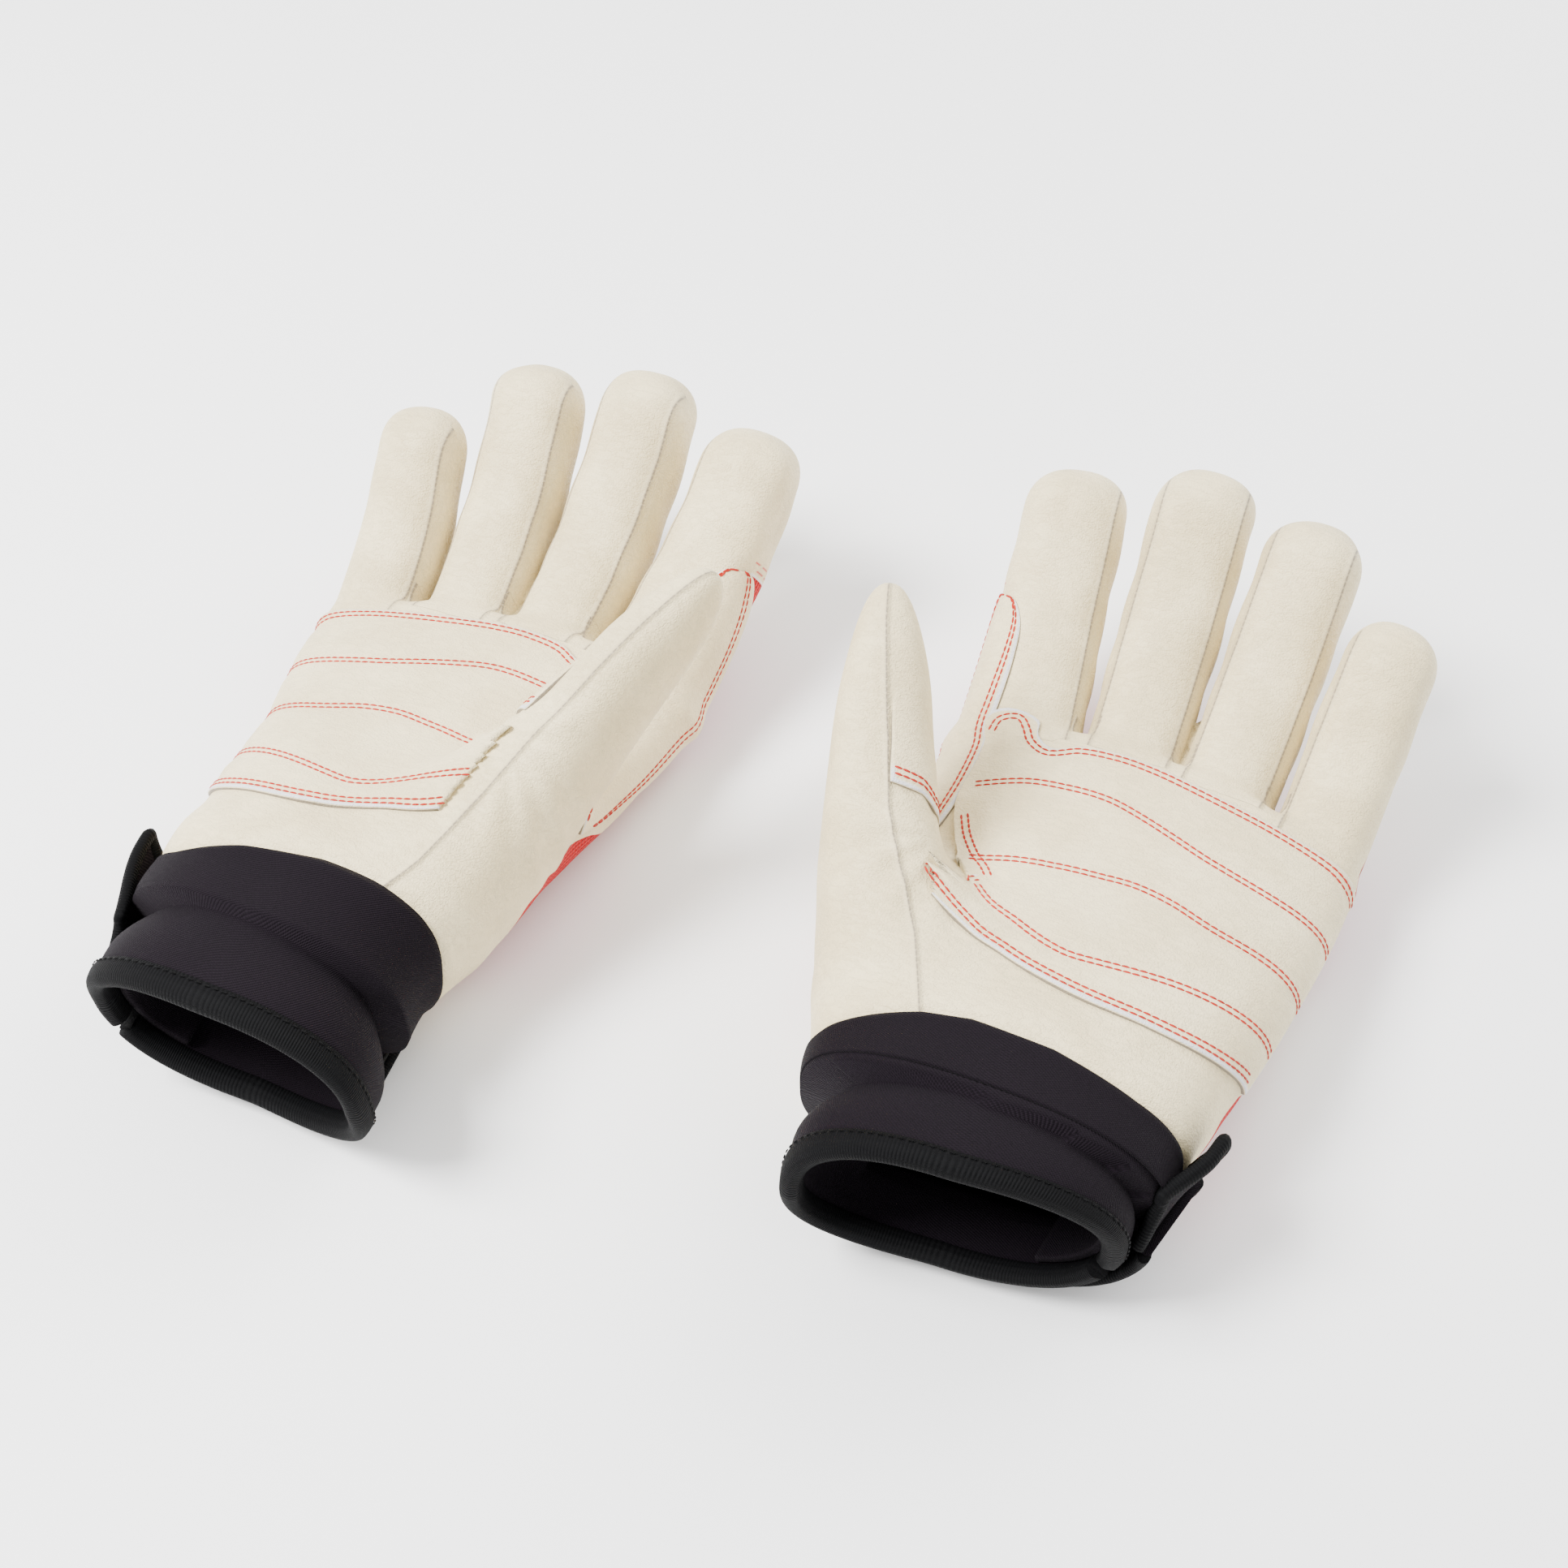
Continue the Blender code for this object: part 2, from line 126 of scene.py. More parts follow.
class Shape:
    """One glove's outside, as a field that is negative inside."""

    def __init__(self, side):
        self.side = side
        rows = np.array(HANDS[side], float)
        self.q_at = np.linspace(rows[0, 0], rows[-1, 0], 300)
        self.rows = curve_through(rows[:, 0], rows[:, 1:], self.q_at)
        line = np.array(THUMBS[side], float)
        along = np.concatenate([[0], np.cumsum(np.linalg.norm(np.diff(line[:, :3], axis=0), axis=1))])
        self.thumb_length = along[-1]
        self.t_at = np.linspace(0, self.thumb_length, 90)
        fine = curve_through(along, line, self.t_at)
        self.thumb_centre, self.thumb_half = fine[:, :3], fine[:, 3:]
        way = np.gradient(self.thumb_centre, axis=0)
        self.thumb_way = way / np.linalg.norm(way, axis=1)[:, None]
        across = np.cross(self.thumb_way, [0, 0, 1])
        self.thumb_across = across / np.linalg.norm(across, axis=1)[:, None]
        self.thumb_up = np.cross(self.thumb_across, self.thumb_way)

    def section(self, q):
        return [np.interp(q, self.q_at, self.rows[:, k]) for k in range(4)]

    def palm_angle(self, points):
        centre, middle = self.section(points[:, 1])[:2]
        return np.degrees(np.arctan2(points[:, 2] - middle, points[:, 0] - centre))

    def palm(self, points):
        p, q, h = points.T
        centre, middle, width, height = self.section(q)
        u, v = p - centre, h - middle
        share = np.maximum((np.abs(u / width) ** PALM_POWER + np.abs(v / height) ** PALM_POWER) ** (1 / PALM_POWER), 0.05)
        wall = np.hypot(u, v) * (1 - 1 / share)
        end = 166.0 - 0.0038 * (p - 12) ** 2 - 0.364 * (h - 18.5)
        return -smooth_min(-wall, end - q, 5.0)

    def finger_at(self, name, points):
        """Along, across and palmwards coordinates in a finger."""
        base, yaw, low, high, length = FINGERS[name][:5]
        low, high, yaw = math.radians(low), math.radians(high), math.radians(yaw)
        rel = points - np.array(base)
        forward = rel[:, 0] * math.sin(yaw) + rel[:, 1] * math.cos(yaw)
        across = rel[:, 0] * math.cos(yaw) - rel[:, 1] * math.sin(yaw)
        up = rel[:, 2]
        radius = length / (high - low)
        x, z = forward + radius * math.sin(low), up - radius * math.cos(low)
        turned = np.arctan2(x, -z)
        s, n = (turned - low) * radius, radius - np.hypot(x, z)
        before, after = turned < low, turned > high
        s = np.where(before, forward * math.cos(low) + up * math.sin(low), s)
        n = np.where(before, up * math.cos(low) - forward * math.sin(low), n)
        tip_x, tip_z = radius * (math.sin(high) - math.sin(low)), radius * (math.cos(low) - math.cos(high))
        over, lift = forward - tip_x, up - tip_z
        s = np.where(after, length + over * math.cos(high) + lift * math.sin(high), s)
        n = np.where(after, lift * math.cos(high) - over * math.sin(high), n)
        return s, across, n

    def finger_half(self, name, s):
        length, widths, heights = FINGERS[name][4:]
        stops = [0, length * 0.5, length]
        return np.interp(s, stops, widths), np.interp(s, stops, heights)

    def finger(self, name, points):
        s, across, n = self.finger_at(name, points)
        width, height = self.finger_half(name, s)
        length, cap = FINGERS[name][4], 13.0
        past = np.maximum(s - (length - cap), 0)
        flat = (np.abs(across / width) ** 2.5 + np.abs(n / height) ** 2.5) ** (2.35 / 2.5)
        share = np.maximum((flat + (past / cap) ** 2.35) ** (1 / 2.35), 0.05)
        return np.sqrt(across**2 + n**2 + past**2) * (1 - 1 / share) + 0.8 * np.maximum(-4 - s, 0)

    def thumb_at(self, points):
        s, across, n = (np.full(len(points), 1e3) for _ in range(3))
        low, high = self.thumb_centre.min(0) - 34, self.thumb_centre.max(0) + 34
        near = np.nonzero(((points > low) & (points < high)).all(1))[0]
        for part in np.array_split(near, max(1, len(near) // 40000)):
            if not len(part):
                continue
            at = points[part]
            gap = (at**2).sum(1)[:, None] - 2 * at @ self.thumb_centre.T + (self.thumb_centre**2).sum(1)
            i = gap.argmin(1)
            rel = at - self.thumb_centre[i]
            s[part] = self.t_at[i] + (rel * self.thumb_way[i]).sum(1)
            across[part] = (rel * self.thumb_across[i]).sum(1)
            n[part] = (rel * self.thumb_up[i]).sum(1)
        return s, across, n

    def thumb_size(self, s):
        return (np.interp(s, self.t_at, self.thumb_half[:, k]) for k in (0, 1))

    def thumb(self, points):
        s, across, n = self.thumb_at(points)
        width, height = self.thumb_size(s)
        cap = 30.0
        past = np.maximum(s - (self.thumb_length - cap), 0)
        flat = (np.abs(across / width) ** 2.3 + np.abs(n / height) ** 2.3)
        share = np.maximum((flat + (past / cap) ** 2.1) ** (1 / 2.2), 0.05)
        inner = np.maximum(-s, 0)
        return np.sqrt(across**2 + n**2 + past**2) * (1 - 1 / share) + inner

    def parts(self, points):
        return self.palm(points), [self.finger(name, points) for name in NAMES], self.thumb(points)

    def without_thumb(self, points):
        return smooth_min(self.palm(points), np.minimum.reduce([self.finger(name, points) for name in NAMES]), 6.0)

    def __call__(self, points):
        return smooth_min(self.without_thumb(points), self.thumb(points), 12.0)

    def slope(self, points, step=0.25):
        found = [self(points + shift) - self(points - shift) for shift in np.eye(3) * step]
        found = np.array(found).T / (2 * step)
        return found / np.maximum(np.linalg.norm(found, axis=1), 1e-9)[:, None]


# ---------------------------------------------------------------- meshes as arrays


class Skin:
    """Points, triangles and values kept at the points."""

    def __init__(self, points, faces, **values):
        self.points, self.faces, self.values = points, faces, values

    def keep(self, faces):
        used, back = np.unique(faces, return_inverse=True)
        values = {name: value[used] for name, value in self.values.items()}
        return Skin(self.points[used], back.reshape(-1, 3), **values)

    def split(self, level):
        """The parts where level is below 0 and above 0, cut cleanly along 0."""
        level = np.where(np.abs(level) < 1e-4, 1e-4, level)
        above = level > 0
        count = above[self.faces].sum(1)
        mixed = self.faces[(count == 1) | (count == 2)]
        lone = above[mixed] == (above[mixed].sum(1) == 1)[:, None]
        first = lone.argmax(1)
        rows = np.arange(len(mixed))
        a, b, c = (mixed[rows, (first + k) % 3] for k in range(3))
        edges = np.sort(np.concatenate([np.stack([a, b], 1), np.stack([a, c], 1)]), axis=1)
        unique, back = np.unique(edges, axis=0, return_inverse=True)
        back = back.reshape(-1)
        i, j = unique.T
        t = level[i] / (level[i] - level[j])
        new = lambda value: np.concatenate(
            [value, value[i] + (value[j] - value[i]) * t.reshape((-1,) + (1,) * (value.ndim - 1))])
        whole = Skin(new(self.points), None, **{name: new(value) for name, value in self.values.items()})
        ab, ac = back[: len(a)] + len(self.points), back[len(a):] + len(self.points)
        tip = np.stack([a, ab, ac], 1)
        rest = np.concatenate([np.stack([ab, b, c], 1), np.stack([ab, c, ac], 1)])
        up = above[a]
        both = np.concatenate([up, up])
        low = np.concatenate([self.faces[count == 0], tip[~up], rest[both]])
        high = np.concatenate([self.faces[count == 3], tip[up], rest[~both]])
        return whole.keep(low), whole.keep(high)


def surface_nets(field, corner, step):
    """Quads through a field's zero level, one point in each cell that it crosses."""
    inside = field < 0
    shape = np.array(field.shape) - 1
    total, count = np.zeros((*shape, 3)), np.zeros(shape)
    for axis in range(3):
        others = [k for k in range(3) if k != axis]
        for da in (0, 1):
            for db in (0, 1):
                low, high = [slice(0, -1)] * 3, [slice(0, -1)] * 3
                low, high = list(low), list(high)
                for k, d in zip(others, (da, db)):
                    low[k] = high[k] = slice(d, d + shape[k])
                low[axis], high[axis] = slice(0, -1), slice(1, None)
                a, b = field[tuple(low)], field[tuple(high)]
                hit = (a < 0) != (b < 0)
                t = np.where(hit, a / np.where(hit, a - b, 1), 0)
                spot = np.zeros((*shape, 3))
                spot[..., axis] = t
                spot[..., others[0]], spot[..., others[1]] = da, db
                total += spot * hit[..., None]
                count += hit
    cells = count > 0
    number = np.full(shape, -1)
    number[cells] = np.arange(cells.sum())
    where = np.argwhere(cells)
    points = corner + (where + total[cells] / count[cells][:, None]) * step
    quads = []
    for axis in range(3):
        u, v = (axis + 1) % 3, (axis + 2) % 3
        low, high = [slice(1, -1)] * 3, [slice(1, -1)] * 3
        low[axis], high[axis] = slice(0, -1), slice(1, None)
        a, b = inside[tuple(low)], inside[tuple(high)]
        at = np.argwhere(a != b)
        flip = a[a != b]
        at[:, u] += 1
        at[:, v] += 1
        back_u, back_v = np.eye(3, dtype=int)[u], np.eye(3, dtype=int)[v]
        loop = [at, at - back_u, at - back_u - back_v, at - back_v]
        quad = np.stack([number[tuple(c.T)] for c in loop], 1)
        quad[~flip] = quad[~flip][:, ::-1]
        quads.append(quad)
    quads = np.concatenate(quads)
    return points, quads[(quads >= 0).all(1)][:, ::-1]


def neighbours_mean(points, edges):
    total, count = np.zeros_like(points), np.zeros(len(points))
    for a, b in (edges.T, edges.T[::-1]):
        np.add.at(total, a, points[b])
        np.add.at(count, a, 1)
    return total / np.maximum(count, 1)[:, None]


def edges_of(faces):
    pairs = np.concatenate([faces[:, [k, (k + 1) % faces.shape[1]]] for k in range(faces.shape[1])])
    return np.unique(np.sort(pairs, axis=1), axis=0)


def make_skin(shape):
    low, high = np.array([-62.0, 27.0, -3.0]), np.array([92.0, 240.0, 106.0])
    counts = np.ceil((high - low) / GRID).astype(int)
    axes = [low[k] + GRID * np.arange(counts[k]) for k in range(3)]
    grid = np.stack(np.meshgrid(*axes, indexing="ij"), -1).reshape(-1, 3)
    field = np.concatenate([shape(part) for part in np.array_split(grid, 12)]).reshape(counts)
    points, quads = surface_nets(field, low, GRID)
    edges = edges_of(quads)
    for _ in range(3):
        points = points * 0.5 + neighbours_mean(points, edges) * 0.5
        for _ in range(2):
            points = points - shape(points)[:, None] * shape.slope(points)
    a, b, c, d = quads.T
    faces = np.concatenate([np.stack([a, b, c], 1), np.stack([a, c, d], 1)])
    skin = Skin(points, faces)
    whole = BVHTree.FromPolygons(points.tolist(), faces.tolist())
    skin = skin.split(points[:, 1] - wrist_line(shape, points) - 0.2)[1]
    normal = shape.slope(skin.points)
    skin.points = skin.points + normal * folds(shape, skin.points)[:, None]
    skin.values = {"normal": point_normals(skin.points, skin.faces)}
    return skin, whole


def wrist_line(shape, points):
    """Where the leather ends on the cuff: a little further up the palm's side."""
    return np.interp(shape.palm_angle(points), *WRIST[shape.side])


def point_normals(points, faces):
    a, b, c = (points[faces[:, k]] for k in range(3))
    flat = np.cross(b - a, c - a)
    total = np.zeros_like(points)
    for k in range(3):
        np.add.at(total, faces[:, k], flat)
    return total / np.maximum(np.linalg.norm(total, axis=1), 1e-12)[:, None]


def folds(shape, points):
    """How far the leather stands off its smooth shape: soft folds, the tuck at the wrist."""
    p, q, h = points.T
    over = fade(h, 22, 32)
    away = np.hypot(p - 40, q - 92)
    turn = np.arctan2(q - 92, p - 40)
    fan = np.sin(turn * 13) * bump(away - 15, 11) * 0.32
    across = 0.5 * np.sin((q + 0.16 * p + 5 * np.sin(p / 27)) / 3.1) * bump(q - 117, 9) * bump(p - 12, 26)
    wrist = 0.35 * np.sin((q * 0.9 + 0.5 * p) / 3.6) * bump(q - 59, 7)
    wave = 0.25 * np.sin(p / 7.3 + q / 11.0) * np.sin(q / 8.9 - p / 17.0)
    tuck = -1.3 * bump(q - wrist_line(shape, points), 1.6)
    fingers = 0.22 * np.sin(q / 2.6 + np.sin(p / 5.0)) * fade(q, 172, 182)
    return over * (fan + across) + wrist + wave + tuck + fingers


# ---------------------------------------------------------------- meshes into Blender


def add_piece(name, glove, points, faces, body, slot, material, blend=None, normals=None, **values):
    """A mesh from a glove's own coordinates, riding on one body, or, where blend is given, standing free with its
    placement baked in.
    """
    x, y, sign = GLOVES[glove.side]
    turn = np.array([sign, 1, 1])
    mesh = bpy.data.meshes.new(f"{glove.side}_{name}")
    where = (points * turn + [x, y, 0]) * MM
    faces = faces.tolist() if hasattr(faces, "tolist") else faces
    faces = [tuple(f) if sign > 0 else tuple(f[::-1]) for f in faces]
    mesh.from_pydata(where.tolist(), [], faces)
    values.setdefault("rest", points)
    for key, value in values.items():
        value = np.asarray(value, np.float32)
        kind, field = ("FLOAT_VECTOR", "vector") if value.ndim > 1 else ("FLOAT", "value")
        mesh.attributes.new(key, kind, "POINT").data.foreach_set(field, value.ravel())
    mesh.shade_smooth()
    if normals is not None:
        mesh.normals_split_custom_set_from_vertices((normals * turn).tolist())
    obj = bpy.data.objects.new(f"{glove.side}_{name}", mesh)
    bpy.context.scene.collection.objects.link(obj)
    mesh.materials.append(material)
    if blend:
        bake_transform(obj)
    else:
        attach(obj, f"{glove.side}_{body}")
    return obj


def grid_faces(rows, columns, closed=False):
    count = columns if closed else columns - 1
    i, j = np.meshgrid(np.arange(rows - 1), np.arange(count), indexing="ij")
    a, b = i * columns + j, i * columns + (j + 1) % columns
    return np.stack([a, b, b + columns, a + columns], -1).reshape(-1, 4)


def stitch_shape():
    """One short stitch lying along x, 1 long, 1 wide and 1 high."""
    points, faces = [(-0.5, 0, -0.3)], []
    for x, size in ((-0.40, 0.62), (-0.15, 1.0), (0.15, 1.0), (0.40, 0.62)):
        for k in range(6):
            turn = math.tau * k / 6
            points.append((x, 0.5 * size * math.cos(turn), 0.5 * size * math.sin(turn) + 0.25 * size - 0.2))
    points.append((0.5, 0, -0.3))
    for k in range(6):
        n = (k + 1) % 6
        faces.append((0, 1 + n, 1 + k, 1 + k))
        faces += [(1 + r * 6 + k, 1 + r * 6 + n, 7 + r * 6 + n, 7 + r * 6 + k) for r in range(3)]
        faces.append((19 + k, 19 + n, 25, 25))
    return np.array(points), faces


STITCH, STITCH_FACES = stitch_shape()


def stitches_along(line, normal, pitch=2.15, length=2.25, width=0.62, height=0.5, side=0.0, lift=0.0):
    """Stitches in a row beside a line of points with normals: points, faces and a coordinate along the thread."""
    way = np.gradient(line, axis=0)
    way /= np.maximum(np.linalg.norm(way, axis=1), 1e-9)[:, None]
    across = np.cross(normal, way)
    across /= np.maximum(np.linalg.norm(across, axis=1), 1e-9)[:, None]
    line = line + across * side + normal * lift
    run = np.concatenate([[0], np.cumsum(np.linalg.norm(np.diff(line, axis=0), axis=1))])
    at = np.arange(pitch / 2, run[-1], pitch)
    take = lambda value: np.stack([np.interp(at, run, value[:, k]) for k in range(3)], 1)
    spot, up, t = take(line), take(normal), take(way)
    t /= np.linalg.norm(t, axis=1)[:, None]
    b = np.cross(up, t)
    size = np.array([length, width, height])
    points = spot[:, None] + sum(axis[:, None] * (STITCH[:, k] * size[k])[None, :, None]
                                 for k, axis in enumerate((t, b, up)))
    quads = np.array(STITCH_FACES)[None] + (np.arange(len(at)) * len(STITCH))[:, None, None]
    coord = np.zeros((len(at), len(STITCH), 3))
    coord[..., 0], coord[..., 1] = STITCH[:, 0] * length, STITCH[:, 1] * width
    coord[..., 2] = at[:, None]
    return points.reshape(-1, 3), quads.reshape(-1, 4), coord.reshape(-1, 3)


def add_stitches(name, glove, rows, material, slot, body="glove", blend=None):
    points, faces, coords, count = [], [], [], 0
    for row in rows:
        p, f, c = row
        points.append(p)
        faces.append(f + count)
        coords.append(c)
        count += len(p)
    if count:
        faces = np.concatenate(faces)
        faces = [f[:3] if f[2] == f[3] else f for f in faces.tolist()]
        add_piece(name, glove, np.concatenate(points), faces, body, slot, material, blend,
                  weave=np.concatenate(coords))


class Glove:
    """One glove: its field, its whole skin and what lies on it."""

    def __init__(self, side):
        self.side, self.shape = side, Shape(side)
        self.skin, self.tree = make_skin(self.shape)
        x, y, sign = GLOVES[side]
        world = lambda point: tuple((np.array(point) * [sign, 1, 1] + [x, y, 0]) * MM)
        self.bends = {name: (world(self.finger_point(name, 6)), world(self.finger_point(name, 24))) for name in NAMES}
        self.bends["thumb"] = tuple(world(self.thumb_frame(s)[0]) for s in (THUMB_CUT + 0.5, THUMB_CUT + 17))

    def finger_point(self, name, s):
        base, yaw, low, high, length = FINGERS[name][:5]
        low, high, yaw = math.radians(low), math.radians(high), math.radians(yaw)
        radius = length / (high - low)
        turn = low + np.asarray(s) / radius
        forward = radius * (np.sin(turn) - math.sin(low))
        up = radius * (math.cos(low) - np.cos(turn))
        return np.stack([base[0] + forward * math.sin(yaw), base[1] + forward * math.cos(yaw), base[2] + up], -1)

    def thumb_frame(self, s):
        shape = self.shape
        take = lambda value: np.stack([np.interp(s, shape.t_at, value[:, k]) for k in range(3)], -1)
        return take(shape.thumb_centre), take(shape.thumb_across), take(shape.thumb_up)

    def cast(self, origins, ways):
        """The first skin outwards from inside, with its smooth normal."""
        found = []
        for origin, way in zip(origins.tolist(), ways.tolist()):
            hit = self.tree.ray_cast(origin, way)[0]
            found.append(hit if hit is not None else np.array(origin) + np.array(way) * 20)
        found = np.array([tuple(v) for v in found])
        return found, self.shape.slope(found, 0.6)

    def cast_bare(self, origins, ways):
        """As cast, but where the thumb covers the hand the points stay on the hand, inside the thumb."""
        found, normal = self.cast(origins, ways)
        s, across, n = self.shape.thumb_at(found)
        ridge = np.interp(s, *THUMB_RIDGE[self.side])
        past = (np.mod(np.degrees(np.arctan2(n, across)) - ridge + 180, 360) - 180) * np.hypot(across, n) * math.pi / 180
        gap = fade(self.shape.without_thumb(found), 3, 8) * (1 - fade(past, 1.5, 6))
        pick = np.nonzero(gap > 0)[0]
        if len(pick):
            low, high = np.zeros(len(pick)), np.full(len(pick), 90.0)
            for _ in range(22):
                middle = (low + high) / 2
                inside = self.shape.without_thumb(origins[pick] + ways[pick] * middle[:, None]) < 0
                low, high = np.where(inside, middle, low), np.where(inside, high, middle)
            share = gap[pick][:, None]
            found[pick] = found[pick] * (1 - share) + (origins[pick] + ways[pick] * low[:, None]) * share
        return found, normal

    def on_palm(self, angle, q):
        """Points of the palm at an angle round it: 0 is the thumb's side, 90 the palm's."""
        angle, q = np.radians(np.ravel(angle)), np.ravel(q)
        centre, middle = self.shape.section(q)[:2]
        origins = np.stack([centre, q, middle], 1)
        return self.cast_bare(origins, np.stack([np.cos(angle), 0 * q, np.sin(angle)], 1))

    def on_index(self, along, angle):
        """Points round a line that runs inside the hand's thumb side and on into the index finger."""
        stops = [(30, 92, 22), (33, 108, 21), (36, 125, 20), (39, 145, 19), (41.3, 160, 18.5)]
        line = np.array(stops + self.finger_point("index", np.array([12, 24, 36, 48, 60])).tolist())
        run = np.concatenate([[0], np.cumsum(np.linalg.norm(np.diff(line, axis=0), axis=1))])
        along, angle = np.ravel(along), np.radians(np.ravel(angle))
        origin = curve_through(run, line, along)
        way = curve_through(run, line, along + 1) - origin
        way /= np.linalg.norm(way, axis=1)[:, None]
        across = np.cross(way, [0, 0, 1])
        across /= np.linalg.norm(across, axis=1)[:, None]
        ways = across * np.cos(angle)[:, None] + np.cross(across, way) * np.sin(angle)[:, None]
        return self.cast_bare(origin, ways)

    def on_thumb(self, s, angle):
        angle = np.radians(np.ravel(angle))
        origin, across, up = self.thumb_frame(np.ravel(s))
        return self.cast(origin, across * np.cos(angle)[:, None] + up * np.sin(angle)[:, None])


# ---------------------------------------------------------------- leather and knit, cut into their pieces


def label_points(shape, points):
    palm, fingers, thumb = shape.parts(points)
    return palm, np.array(fingers), thumb


def finger_lines(glove, name, points):
    """The knit's edge, the distance to the nearest seam and a weave's coordinates in a finger."""
    s, across, n = glove.shape.finger_at(name, points)
    width, height = glove.shape.finger_half(name, s)
    length = FINGERS[name][4]
    outer = {"index": 1, "little": -1}.get(name, 0)
    low = 0.55 - (0.85 if outer > 0 else 0.75) * fade(outer * across / width, 0.4, 0.9) * (outer != 0)
    low = low + (outer < 0) * 0.5 * fade(s, 3, 15)
    wall = -low * height - n
    knit = np.minimum(wall, 0.52 * length - s)
    cap = np.where(wall > -1.0, s - 0.52 * length, 99.0)
    line = 0.8 * width
    past = np.maximum(s - (length - 10), 0) / 13.0
    loop = ((np.abs(across) / line) ** 4 + past**4) ** 0.25
    seam = (loop - 1) * line
    if outer:
        seam = np.where((across * outer > 0), -30.0, seam)
    seam = np.where((n > 0.05 * height) & (s > -3), seam, 30.0)
    turn = np.mod(np.degrees(np.arctan2(n, across)) - 90, 360)
    return knit, seam, s, np.stack([turn * 0.24, s, 0 * s], 1), cap


def skin_values(glove, skin):
    """Values at every point of a skin: which piece it belongs to, its seams and its weave."""
    shape, points = glove.shape, skin.points
    palm, fingers, thumb = label_points(shape, points)
    near = fingers.argmin(0)
    s_all, knit_all, seam_all, run_all, cap_all = (np.zeros(len(points)) for _ in range(5))
    weave_all = np.zeros((len(points), 3))
    for k, name in enumerate(NAMES):
        pick = near == k
        knit, seam, s, weave, cap_all[pick] = finger_lines(glove, name, points[pick])
        knit_all[pick], seam_all[pick], s_all[pick], weave_all[pick], run_all[pick] = knit, seam, s, weave, s
    is_thumb = (thumb < palm) & (thumb < fingers.min(0))
    centre, middle, width, height = shape.section(points[:, 1])
    p, q, h = points.T
    round_ = shape.palm_angle(points)
    reach = np.hypot(p - centre, h - middle) * math.pi / 180
    inner, outer = np.interp(q, *KNIT_IN) - round_, np.mod(round_, 360) - np.interp(q, *KNIT_OUT)
    palm_knit = np.where(np.abs(round_) < 90, inner, outer) * reach
    palm_knit = np.where((round_ < -60) & (round_ > -120), 9.0, palm_knit)
    along = fade(s_all, -8, 4)
    knit = palm_knit * (1 - along) + knit_all * along
    by_thumb = fade(palm - thumb, -3, 3) * fade(thumb_places(glove, points), 38, 50)
    knit = knit * (1 - by_thumb) - 4 * by_thumb
    angle = np.mod(shape.palm_angle(points) - 90, 360)
    palm_weave = np.stack([angle * 0.8, q, 0 * q], 1)
    weave = np.where((s_all > 4)[:, None], weave_all, palm_weave)
    s, across, n = shape.thumb_at(points)
    turn = np.degrees(np.arctan2(n, across))
    ridge = np.interp(s, *THUMB_RIDGE[glove.side])
    thumb_seam = (np.mod(turn - ridge + 180, 360) - 180) * np.hypot(across, n) * math.pi / 180
    thumb_seam = np.where((s > -25) & (s < 500) & (palm > thumb - 14), thumb_seam, 30)
    run = np.where(np.abs(thumb_seam) < 5, s, run_all)
    seam_all = np.where(is_thumb, 30, seam_all)
    third = np.minimum.reduce([crotch_seam(glove, left, right, points) for left, right in zip(NAMES, NAMES[1:])])
    third = np.where(q < 60, np.maximum(q - wrist_line(shape, points), 0) + 0.5, third)
    seam = np.stack([seam_all, thumb_seam, third], 1)
    level = np.where(is_thumb, -1.0, s_all - FINGER_CUT)
    thumb_level = np.where(is_thumb, s - THUMB_CUT, -1.0)
    skin.values.update(knit=knit, seam=seam, run=run, weave=weave, level=level, thumb_level=thumb_level,
                       near=near.astype(float), edge=np.minimum(np.abs(knit), 9), cap=np.minimum(cap_all, 20))


def thumb_places(glove, points):
    return np.minimum(glove.shape.thumb_at(points)[0], 200)


def crotch_seam(glove, left, right, points):
    """The rounded end of the strip that is sewn in between two fingers."""
    a, b = (glove.finger_point(name, -1.5) for name in (left, right))
    wide_a, wide_b = (0.8 * glove.shape.finger_half(name, 0.0)[0] for name in (left, right))
    low, high = b[0] + wide_b, a[0] - wide_a
    middle, half, q0 = (low + high) / 2, max((high - low) / 2, 2.0), (a[1] + b[1]) / 2 + 6
    p, q, h = points.T
    ring = np.hypot(p - middle, np.minimum(q - q0, 0) * 0.55) - half
    return np.where((h > 19) & (q < q0 + 3) & (q > q0 - 14), ring, 30.0)


def make_hand(glove, looks):
    skin = glove.skin
    skin_values(glove, skin)
    base, tips = skin.split(skin.values["level"])
    base, thumb = base.split(base.values["thumb_level"])
    pieces = [("hand", base, None), ("thumb", thumb, "thumb")]
    for k, name in enumerate(NAMES):
        first = tips.values["near"][tips.faces].mean(1)
        pieces.append((name, tips.keep(tips.faces[np.abs(first - k) < 0.5]), name))
    side = glove.side
    for name, part, blend in pieces:
        leather, knit = part.split(part.values["knit"])
        for suffix, cut in (("leather", leather), ("knit", knit)):
            if len(cut.faces) < 20:
                continue
            values = {key: cut.values[key] for key in ("seam", "run", "weave", "edge", "cap")}
            obj = add_piece(f"{name}_{suffix}", glove, cut.points, cut.faces, "glove", suffix, looks[suffix], blend,
                            cut.values["normal"], **values)
            nodes = {"hand": {"leather": ["palm_leather", "thumb_gusset"], "knit": ["back_knit"]},
                     "thumb": {"leather": ["thumb_outer", "thumb_inner"], "knit": []}}.get(
                name, {"leather": [f"{name}_front", f"{name}_tip"], "knit": [f"{name}_back"]})[suffix]
            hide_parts(*[f"{side}_{node}" for node in nodes])


# ---------------------------------------------------------------- patches sewn on top, and their thread


